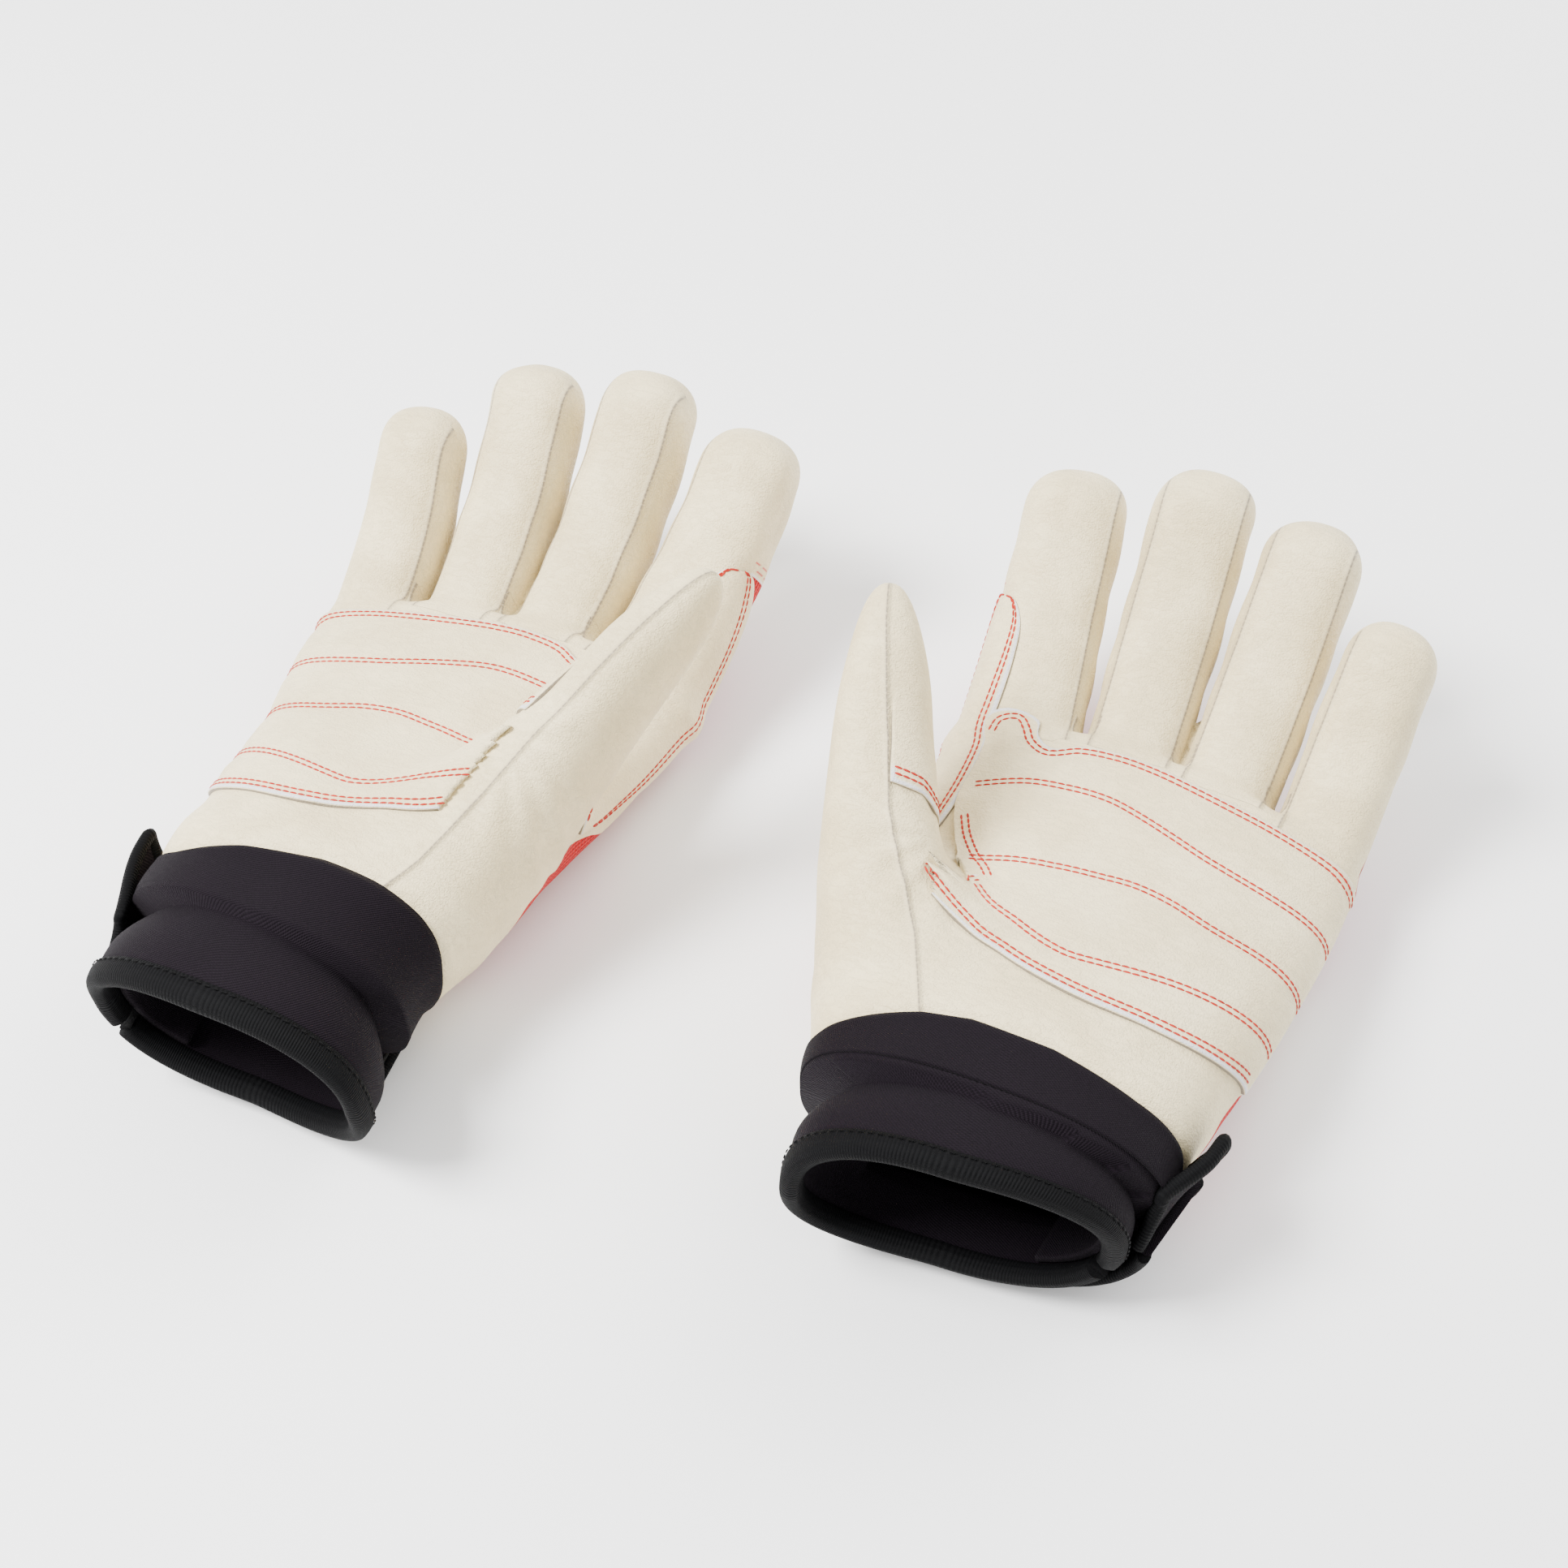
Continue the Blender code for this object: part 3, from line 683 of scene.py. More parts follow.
def steps_of(size, count, thickness):
    """Places from 0 to 1 across a patch, crowded at its rim, and how high the patch stands there."""
    edge = np.array([0, 0, 0.25, 0.9, 1.6]) / size
    inside = np.linspace(edge[-1], 1 - edge[-1], count)[1:-1]
    height = np.array([-0.35, 0.5, 0.9, 1, 1]) * thickness
    return (np.concatenate([edge, inside, 1 - edge[::-1]]),
            np.concatenate([height, np.full(len(inside), thickness), height[::-1]]))


def add_patch(name, glove, place, size, counts, thickness, looks, nodes, blend=None, dips=(), pale=None):
    """A sheet of leather laid on the skin, from place(u, v), which gives points and normals."""
    u, rise_u = steps_of(size[0], counts[0], thickness)
    v, rise_v = steps_of(size[1], counts[1], thickness)
    uu, vv = np.meshgrid(u, v, indexing="ij")
    points, normals = place(uu.ravel(), vv.ravel())
    rise = np.minimum(rise_u[:, None], rise_v[None]).ravel()
    rim = np.minimum.reduce([uu * size[0], (1 - uu) * size[0], vv * size[1], (1 - vv) * size[1]]).ravel()
    if len(dips):
        near = np.full(len(points), 1e9)
        for part in np.array_split(np.arange(len(points)), 24):
            near[part] = np.sqrt(((points[part, None] - dips[None]) ** 2).sum(-1).min(1))
        rise = rise + 0.5 * fade(near, 1.2, 6.5) * fade(rim, 0.5, 5)
    points = points + normals * rise[:, None]
    # cut is 1 along the patch's pale cut edge, scaled by pale; its lowest rim row gets -1, where the shader paints a
    # dark shadow line at the patch's foot.
    cut = (1 - fade(rim, 1.0, 1.35)) * (pale(uu.ravel(), vv.ravel()) if pale else 1.0)
    cut = np.where(rim < 0.01, -1.0, cut)
    far = np.full(len(points), 30.0)
    obj = add_piece(name, glove, points, grid_faces(len(u), len(v)), "glove", "patch_leather", looks["patch"], blend,
                    cut=cut, seam=np.stack([far] * 3, 1), run=0 * far, weave=points, edge=far, cap=far)
    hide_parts(*[f"{glove.side}_{node}" for node in nodes])
    return obj


def smooth_line(points, count):
    points = np.array(points, float)
    run = np.concatenate([[0], np.cumsum(np.linalg.norm(np.diff(points, axis=0), axis=1))])
    return curve_through(run, points, np.linspace(0, run[-1], count))


def between(lines, u, v):
    """A place inside four border lines (bottom, top, start, end), each from 0 to 1."""
    bottom, top, start, end = (np.array(line, float) for line in lines)
    read = lambda line, t: np.stack([np.interp(t, np.linspace(0, 1, len(line)), line[:, k]) for k in range(2)], -1)
    u2, v2 = u[:, None], v[:, None]
    corners = ((1 - u2) * (1 - v2) * bottom[0] + u2 * (1 - v2) * bottom[-1]
               + (1 - u2) * v2 * top[0] + u2 * v2 * top[-1])
    return ((1 - v2) * read(bottom, u) + v2 * read(top, u) + (1 - u2) * read(start, v) + u2 * read(end, v) - corners)


# Rows of thread on the palm, as angles round the palm and places along it.
ROWS = {
    "first": [(18.5, 151), (20, 156), (22.5, 157.5), (25, 154), (27, 149.5), (31, 146.5), (43, 149.5), (60, 150.5),
              (85, 150), (110, 148.5), (135, 146), (150, 144), (163, 142), (178, 140.5)],
    "second": [(20, 130), (32, 134), (45, 135), (65, 135), (92, 132.5), (122, 128), (141, 124), (156, 121.5), (178, 121)],
    "third": [(28, 101), (40, 103.5), (58, 105), (83, 106), (109, 106.5), (127, 105), (146, 101.5), (165, 101), (178, 101)],
    "fourth": [(39, 89), (45, 85), (59, 81), (82, 76.5), (93, 75.5), (110, 76), (128, 77.5), (142, 79), (156, 80.5),
               (176, 83)],
    "fifth": [(36.5, 92), (38.5, 86), (42, 79), (50, 74), (64, 71), (96, 67), (119, 65.5), (135, 65.5), (148, 66),
              (161, 68), (174, 72)],
}
PALM_BOTTOM = [(37.5, 95), (35, 90), (37, 84), (41, 76.5), (50, 71.5), (64, 68.7), (96, 64.6), (119, 63), (135, 63),
               (148, 63.5), (161, 65.5), (180, 71)]
PALM_TOP = [(16.5, 153), (18, 158), (22, 160.3), (26.5, 158), (28.5, 152), (32, 149), (43, 152), (60, 153), (85, 152.5),
            (110, 151), (135, 148.5), (150, 146.5), (163, 144.5), (180, 143)]
PALM_START = [(37.5, 95), (30, 101), (22, 110), (18, 122), (17.5, 138), (16.5, 153)]


def make_palm_patch(glove, looks):
    bottom, top, start = (smooth_line(line, 240) for line in (PALM_BOTTOM, PALM_TOP, PALM_START))
    end = np.linspace(bottom[-1], top[-1], 12)
    lines = {name: glove.on_palm(*smooth_line(points, 260).T) for name, points in ROWS.items()}
    hooks = [glove.on_palm(*smooth_line(points, 60).T) for points in HOOK]
    dips = np.concatenate([line[0][::4] for line in list(lines.values()) + hooks])
    place = lambda u, v: glove.on_palm(*between((bottom, top, start, end), u, v).T)
    pale = lambda u, v: np.where(v < 0.5, 1.0, 1 - 0.75 * fade(u, 0.12, 0.2))
    add_patch("palm_patch", glove, place, (118, 84), (112, 84), 1.1, looks, ["palm_patch"], dips=dips, pale=pale)
    rows = []
    for line, normal in list(lines.values()) + hooks:
        line, normal = even_line(line, normal)
        for offset in (-0.85, 0.85):
            rows.append(stitches_along(line, normal, side=offset, lift=1.12))
    add_stitches("palm_thread", glove, rows, looks["thread"], "patch_leather")


def even_line(line, normal):
    """The same line, smoothed a little so that its thread doesn't kink."""
    for _ in range(3):
        line = np.concatenate([line[:1], (line[:-2] + 2 * line[1:-1] + line[2:]) / 4, line[-1:]])
        normal = np.concatenate([normal[:1], (normal[:-2] + 2 * normal[1:-1] + normal[2:]) / 4, normal[-1:]])
    return line, normal / np.linalg.norm(normal, axis=1)[:, None]


HOOK = [[(21, 118), (24, 110), (29, 102.5), (34, 98), (37.5, 94.5)]]
# The leaf patch's outline, as places along the index finger's inner line and angles round it.
LEAF_PALM = [(13, 12), (17, 24), (23, 42), (29, 50), (37, 57), (47, 62), (62, 66), (78, 67), (92, 68), (102, 66),
             (109, 56), (112, 38)]
LEAF_BACK = [(13, 12), (22, 2), (34, -5), (45, -12), (60, -16), (69, -17), (85, -19), (96, -17), (104, -10), (109, 2),
             (112.5, 20), (112, 38)]


def make_leaf(glove, looks):
    palm, back = smooth_line(LEAF_PALM, 200), smooth_line(LEAF_BACK, 200)

    def spot(u, v):
        read = lambda line: np.stack([np.interp(u, np.linspace(0, 1, 200), line[:, k]) for k in range(2)], -1)
        return read(back) * (1 - v[:, None]) + read(palm) * v[:, None]

    place = lambda u, v: glove.on_index(*spot(u, v).T)
    pale = lambda u, v: 0.25 + 0.75 * fade(v, 0.5, 0.9)
    add_patch("leaf_patch", glove, place, (105, 24), (96, 22), 1.0, looks, ["index_patch_lower", "index_patch_upper"],
              blend="index", pale=pale)
    rows = []
    u = np.linspace(0.06, 0.96, 200)
    middle = np.sin(np.pi * u)
    for v in (0.10 + 0.10 * middle, 0.17 + 0.12 * middle, 0.85 + 0 * u, 0.905 + 0 * u):
        line, normal = even_line(*glove.on_index(*spot(u, v).T))
        rows.append(stitches_along(line, normal, lift=1.02))
    add_stitches("leaf_thread", glove, rows, looks["thread"], "patch_leather", blend="index")


# Where the thumb's inner piece starts: places along the thumb by angle round it.
THUMB_EDGE = {"left": ([90, 101, 131, 152, 190, 229], [70.5, 70, 67.5, 63.5, 61, 62]),
              "right": ([104, 125, 150, 190, 229], [69, 67, 64, 62, 62])}


def make_thumb_patch(glove, looks):
    angles, places = THUMB_EDGE[glove.side]
    start = angles[0] + 8

    def spot(u, v):
        angle = start + (229 - start) * u
        return np.interp(angle, angles, places) + 26 * v, angle

    place = lambda u, v: glove.on_thumb(*spot(u, v))

    def place_thin(u, v):
        points, normals = place(u, v)
        return points - normals * (0.9 * fade(v, 0.25, 1.0))[:, None], normals

    pale = lambda u, v: 1 - fade(v, 0.1, 0.2)
    add_patch("thumb_patch", glove, place_thin, (32, 26), (40, 26), 0.85, looks, ["thumb_patch"], blend="thumb",
              pale=pale)
    rows = []
    for v in (0.10, 0.165):
        u = np.linspace(0.03, 0.97, 120)
        line, normal = even_line(*place(u, np.full(120, v)))
        rows.append(stitches_along(line, normal, lift=0.87))
    add_stitches("thumb_thread", glove, rows, looks["thread"], "patch_leather", blend="thumb")


# ---------------------------------------------------------------- the cuff


def oval_points(angle, width, height):
    c, s = np.cos(np.radians(angle)), np.sin(np.radians(angle))
    power = 2 / PALM_POWER
    return width * np.sign(c) * np.abs(c) ** power, height * np.sign(s) * np.abs(s) ** power


def cuff_point(side, q, angle, out):
    """A point of the cuff, out from its middle surface."""
    q = np.asarray(q, float)
    q = q + np.interp(angle, *MOUTH[side]) * np.clip(1 - q / 44, 0, 1)
    rows = np.array(CUFFS[side])
    share = (np.asarray(q, float) - rows[0, 0]) / (rows[1, 0] - rows[0, 0])
    centre, middle, width, height = (rows[0, k] + (rows[1, k] - rows[0, k]) * share for k in range(1, 5))
    u, v = oval_points(angle, width, height)
    u2, v2 = oval_points(np.asarray(angle) + 0.5, width, height)
    u1, v1 = oval_points(np.asarray(angle) - 0.5, width, height)
    du, dv = v2 - v1, -(u2 - u1)
    size = np.maximum(np.hypot(du, dv), 1e-9)
    q = np.broadcast_to(q, np.shape(u)).astype(float)
    return np.stack([centre + u + du / size * out, q, middle + v + dv / size * out], -1)


def sweep(name, glove, angles, profile, material, slot, body="glove", closed=True, nodes=(), fit=None, **extra):
    """A wall of the cuff: profile(angle) gives rows of (q, out) that go round the wall's own section."""
    section = np.array([profile(a) for a in angles])
    out = section[..., 1]
    points = cuff_point(glove.side, section[..., 0], np.array(angles)[:, None], out)
    if fit is not None:
        points = fit(points, section)
    rows, columns = section.shape[:2]
    faces = grid_faces(rows, columns, closed)[:, ::-1]
    flat = points.reshape(-1, 3)
    around = np.repeat(np.array(angles) * 0.62, columns)
    run = np.concatenate([[0], np.cumsum(np.linalg.norm(np.diff(section[0], axis=0), axis=1))])
    weave = np.stack([around, np.tile(run, rows), 0 * around], 1)
    faces = faces.tolist()
    if closed:
        faces.append(list(range(columns)))
        faces.append(list(range((rows - 1) * columns, rows * columns))[::-1])
    obj = add_piece(name, glove, flat, faces, body, slot, material, weave=weave, **extra)
    if nodes:
        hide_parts(*[f"{glove.side}_{node}" for node in nodes])
    return obj


def rounded(rows, radius=0.6):
    """A closed section from its corner points, with rounded corners."""
    rows = np.array(rows, float)
    made = []
    for k in range(len(rows)):
        here, before, after = rows[k], rows[k - 1], rows[(k + 1) % len(rows)]
        a, b = before - here, after - here
        reach = min(radius, 0.4 * np.linalg.norm(a), 0.4 * np.linalg.norm(b))
        start, end = here + a / np.linalg.norm(a) * reach, here + b / np.linalg.norm(b) * reach
        for t in (0, 0.33, 0.67, 1):
            made.append((1 - t) ** 2 * start + 2 * t * (1 - t) * here + t * t * end)
    return np.array(made)


def make_cuff(glove, looks):
    angles = np.linspace(-155, 195, 180)

    def band(a):
        down = np.linspace(6.2, 52, 30)
        sag = 0.25 * np.sin(a / 17.0) * np.sin(down / 9.0)
        outer = [(q, 0.2 + s) for q, s in zip(down, sag)]
        return outer + [(54, -1.6), (54, -3.6)] + [(q, -3.2) for q in down[::-1][2::3]] + [(5.6, -2.6), (5.6, -0.4)]

    def fit(points, section):
        """The band's upper part follows the leather, which it is sewn under."""
        flat = points.reshape(-1, 3).copy()
        q = section[..., 0].ravel()
        for _ in range(2):
            end = wrist_line(glove.shape, flat) + 2.5
            start = flat[:, 1].copy()
            flat[:, 1] = np.where(q > 30, 30 + (q - 30) * (end - 30) / 24, start)
            flat[:, 1] = np.where(q > 30, flat[:, 1], start)
        pick = np.nonzero(q > 10)[0]
        at = flat[pick]
        found, normal = glove.on_palm(glove.shape.palm_angle(at), at[:, 1])
        end = wrist_line(glove.shape, at)
        out = section[..., 1].ravel()[pick]
        outside = out > -2.0
        lift = np.where(outside, 0.45 - 2.4 * fade(at[:, 1] - end, -0.4, 2.0), -2.8)
        target = found + normal * lift[:, None]
        share = fade(q[pick], 10, 46)[:, None]
        flat[pick] = at * (1 - share) + target * share
        return flat.reshape(points.shape)

    sweep("cuff_band", glove, angles, band, looks["neoprene"], "neoprene", nodes=["cuff_band"], fit=fit)
    edge = rounded([(0.6, 0.9), (4.0, 1.35), (6.6, 0.75), (6.9, -0.2), (6.9, -2.8), (6.5, -3.9), (3.5, -4.3), (0.6, -3.6),
                    (-0.6, -1.4)], 1.2)
    sweep("cuff_binding", glove, np.linspace(-155.5, 195.5, 150), lambda a: edge, looks["binding"], "binding",
          nodes=["cuff_binding"])
    ends = []
    for name, angle, turn in (("front", 195.3, 1), ("back", -155.3, -1)):
        def end_profile(a, turn=turn, angle=angle):
            q = np.linspace(2, 46, 24)
            return [(v, 0.9) for v in q] + [(v, -3.7) for v in q[::-1]]
        span = np.linspace(angle - 4.5 * turn, angle + 1.6 * turn, 9)
        span = span if turn > 0 else span[::-1]
        pad = lambda a, q: 0
        sweep(f"cuff_{name}_edge", glove, span, end_profile, looks["binding"], "binding")
    tongue = lambda a: rounded([(6.5, -3.7), (45, -3.7), (45, -6.2), (6.5, -6.2)], 1.0)
    sweep("cuff_tongue", glove, np.linspace(172, 240, 30), tongue, looks["neoprene"], "neoprene", nodes=["cuff_tongue"])
    loop = lambda a: rounded([(12, 0.4), (12, 1.3), (42, 1.3), (42, 0.4)], 0.3)
    sweep("loop_tape", glove, np.linspace(222, 310, 40), loop, looks["tape"], "tape", nodes=["loop_patch"])
    make_lining_and_shade(glove, looks)
    line = [cuff_point(glove.side, 7.6, a, 0.35) for a in np.linspace(-154, 194, 400)]
    outwards = [cuff_point(glove.side, 7.6, a, 1.35) for a in np.linspace(-154, 194, 400)]
    line, outwards = np.array(line), np.array(outwards)
    line_in = np.array([cuff_point(glove.side, 5.4, a, 1.25) for a in np.linspace(-154, 194, 400)])
    rows = [stitches_along(line_in, outwards - line, pitch=2.3, length=1.7, width=0.55, height=0.4)]
    for a in (191.5,):
        q = np.linspace(8, 45, 120)
        run = cuff_point(glove.side, q, np.full(120, a), 0.95)
        rows.append(stitches_along(run, cuff_point(glove.side, q, np.full(120, a), 1.95) - run, pitch=2.3, length=1.7,
                                   width=0.5, height=0.4))
    add_stitches("cuff_thread", glove, rows, looks["black_thread"], "binding")


def make_lining_and_shade(glove, looks):
    """The dark inside of the hand, seen through the cuff: a black lining, closed at its far end by a dark sheet that
    stands in for the shade deep in the hand.
    """
    q = np.concatenate([np.linspace(44, 120, 20), [126, 130]])
    centre, middle, width, height = glove.shape.section(q)
    # The last two rings close the sleeve: a dark end put where the hand's hollow only lies in shade.
    shrink = np.concatenate([np.full(20, 1.0), [0.6, 0.05]])
    turn = np.linspace(0, 360, 73)[:-1]
    rings = []
    for k in range(len(q)):
        u, v = oval_points(turn, (width[k] - 3.6) * shrink[k], (height[k] - 3.6) * shrink[k])
        rings.append(np.stack([centre[k] + u, np.full(72, q[k]), middle[k] + v], 1))
    points = np.concatenate(rings)
    faces = grid_faces(len(q), 72, True)
    add_piece("lining_and_shade", glove, points, faces, "glove", "neoprene", looks["lining_and_shade"], weave=points)


def make_strap(glove, looks):
    """The closing strap on the cuff's back, its bound edge and its hooks, and the tab at the little finger's side."""
    wide = lambda a: (9.0, 45.0 - 5 * float(fade(a, 285, 306)))

    def body(a):
        low, high = wide(a)
        low += 4 * float(fade(a, 290, 306))
        return rounded([(low, 3.0), (low, 5.3), (high, 5.3), (high, 3.0)], 0.8)

    angles = np.linspace(186, 305, 70)
    sweep("strap", glove, angles, body, looks["neoprene"], "neoprene", body="strap", nodes=["strap"])
    hook = lambda a: rounded([(13, 1.7), (13, 2.7), (41, 2.7), (41, 1.7)], 0.3)
    sweep("hook_tape", glove, np.linspace(217, 295, 40), hook, looks["tape"], "tape", body="strap", nodes=["hook_patch"])
    outline = []
    for a in np.linspace(187, 303, 60):
        outline.append((wide(a)[0] + 4 * float(fade(a, 290, 306)), a))
    outline += [(q, 305.5) for q in np.linspace(15, 38, 12)]
    for a in np.linspace(303, 187, 60):
        outline.append((wide(a)[1], a))
    outline = np.array(outline)
    bead(glove, "strap_binding", outline, 4.15, 1.75, looks["binding"], "strap", ["strap_binding"])
    rows = []
    inner = outline + [[0, 0]] * len(outline)
    centre = np.array([27.0, 245.0])
    inner = outline + (centre - outline) * np.array([0.12, 0.035])
    line = np.array([cuff_point(glove.side, q, a, 5.35) for q, a in inner])
    up = np.array([cuff_point(glove.side, q, a, 6.35) for q, a in inner]) - line
    rows.append(stitches_along(line, up, pitch=2.3, length=1.7, width=0.5, height=0.35))
    add_stitches("strap_thread", glove, rows, looks["black_thread"], "binding", body="strap")

    def tab(a):
        lift = 5.0 * float(1 - fade(a, 168, 186))
        low, high = 9.0 + 14 * float(1 - fade(a, 170, 188)), 45.5 + 3.0 * float(1 - fade(a, 168, 184))
        q = np.linspace(low, high, 12)
        rise = 0.8 + lift * fade(q, 18, 44)
        return [(v, r + 2.2) for v, r in zip(q, rise)] + [(v, r) for v, r in zip(q[::-1], rise[::-1])]

    sweep("cuff_tab", glove, np.linspace(168, 185.5, 22), tab, looks["neoprene"], "neoprene")
    edge = []
    for a in np.linspace(185, 168, 26):
        edge.append((45.5 + 3.0 * float(1 - fade(a, 168, 184)), a))
    for t in np.linspace(0, 1, 22)[1:]:
        low = 9.0 + 14 * float(1 - fade(168, 170, 188))
        edge.append((48.5 + (low - 48.5) * t, 168))
    for a in np.linspace(168, 185, 18)[1:]:
        edge.append((9.0 + 14 * float(1 - fade(a, 170, 188)), a))
    edge = np.array(edge)
    rise = np.array([1.9 + 5.0 * (1 - fade(a, 168, 186)) * fade(q, 18, 44) for q, a in edge])
    bead(glove, "tab_binding", edge, rise, 1.9, looks["binding"], "glove", [])


def bead(glove, name, outline, level, radius, material, body, nodes):
    """A round bound edge along (q, angle) places."""
    level = np.broadcast_to(level, len(outline))
    line = np.array([cuff_point(glove.side, q, a, l) for (q, a), l in zip(outline, level)])
    for _ in range(2):
        line = np.concatenate([line[:1], (line[:-2] + 2 * line[1:-1] + line[2:]) / 4, line[-1:]])
    way = np.gradient(line, axis=0)
    way /= np.linalg.norm(way, axis=1)[:, None]
    out = np.array([cuff_point(glove.side, q, a, l + 1) for (q, a), l in zip(outline, level)])
    out = out - np.array([cuff_point(glove.side, q, a, l) for (q, a), l in zip(outline, level)])
    side = np.cross(way, out)
    side /= np.linalg.norm(side, axis=1)[:, None]
    out = np.cross(side, way)
    turn = np.linspace(0, math.tau, 13)[:-1]
    rings = line[:, None] + radius * (side[:, None] * (1.15 * np.cos(turn))[None, :, None]
                                      + out[:, None] * (0.9 * np.sin(turn))[None, :, None])
    points = rings.reshape(-1, 3)
    faces = grid_faces(len(line), 12, True)[:, ::-1].tolist()
    faces += [list(range(12)), list(range(len(points) - 12, len(points)))[::-1]]
    run = np.concatenate([[0], np.cumsum(np.linalg.norm(np.diff(line, axis=0), axis=1))])
    weave = np.stack([np.repeat(run, 12), np.tile(turn * radius, len(line)), np.zeros(len(points))], 1)
    obj = add_piece(name, glove, points, faces, body, "binding", material, weave=weave)
    if nodes:
        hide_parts(*[f"{glove.side}_{node}" for node in nodes])


# ---------------------------------------------------------------- materials


class Look:
    """A material under construction."""

    def __init__(self, name):
        self.material = bpy.data.materials.new(name)
        self.material.use_nodes = True
        self.tree = self.material.node_tree
        self.shader = self.tree.nodes["Principled BSDF"]

    def node(self, kind, settings=(), **sockets):
        node = self.tree.nodes.new(kind)
        for key, value in dict(settings).items():
            setattr(node, key, value)
        for key, value in sockets.items():
            self.put(node.inputs[int(key[1:]) if key[0] == "i" and key[1:].isdigit() else key], value)
        return node

    def put(self, socket, value):
        if isinstance(value, bpy.types.NodeSocket):
            self.tree.links.new(value, socket)
        else:
            socket.default_value = value

    def math(self, operation, a, b=0.0, c=0.0):
        return self.node("ShaderNodeMath", {"operation": operation}, i0=a, i1=b, i2=c).outputs[0]

    def attribute(self, name):
        return self.node("ShaderNodeAttribute", {"attribute_name": name})

    def noise(self, vector, scale, detail=3.0, rough=0.55):
        return self.node("ShaderNodeTexNoise", Vector=vector, Scale=scale, Detail=detail, Roughness=rough).outputs["Fac"]

    def stretched(self, vector, factors):
        return self.node("ShaderNodeMapping", i0=vector, Scale=factors).outputs[0]

    def mix(self, factor, a, b):
        node = self.node("ShaderNodeMix", {"data_type": "RGBA"})
        self.put(node.inputs[0], factor)
        self.put(node.inputs[6], a)
        self.put(node.inputs[7], b)
        return node.outputs[2]

    def bell(self, value, width):
        """1 at 0, falling away within a width."""
        scaled = self.math("DIVIDE", value, width)
        return self.math("EXPONENT", self.math("MULTIPLY", self.math("MULTIPLY", scaled, scaled), -1.0))

    def ramp(self, value, low, high):
        node = self.node("ShaderNodeMapRange", Value=value)
        node.interpolation_type = "SMOOTHSTEP"
        node.inputs["From Min"].default_value, node.inputs["From Max"].default_value = low, high
        return node.outputs[0]

    def bump_from(self, height, distance, strength=1.0, normal=None):
        node = self.node("ShaderNodeBump", Strength=strength, Distance=distance, Height=height)
        if normal:
            self.put(node.inputs["Normal"], normal)
        return node.outputs[0]

    def finish(self, colour, roughness, normal, **fixed):
        self.put(self.shader.inputs["Base Color"], colour)
        self.put(self.shader.inputs["Roughness"], roughness)
        if normal is not None:
            self.put(self.shader.inputs["Normal"], normal)
        for key, value in fixed.items():
            self.shader.inputs[key.replace("_", " ")].default_value = value
        return self.material


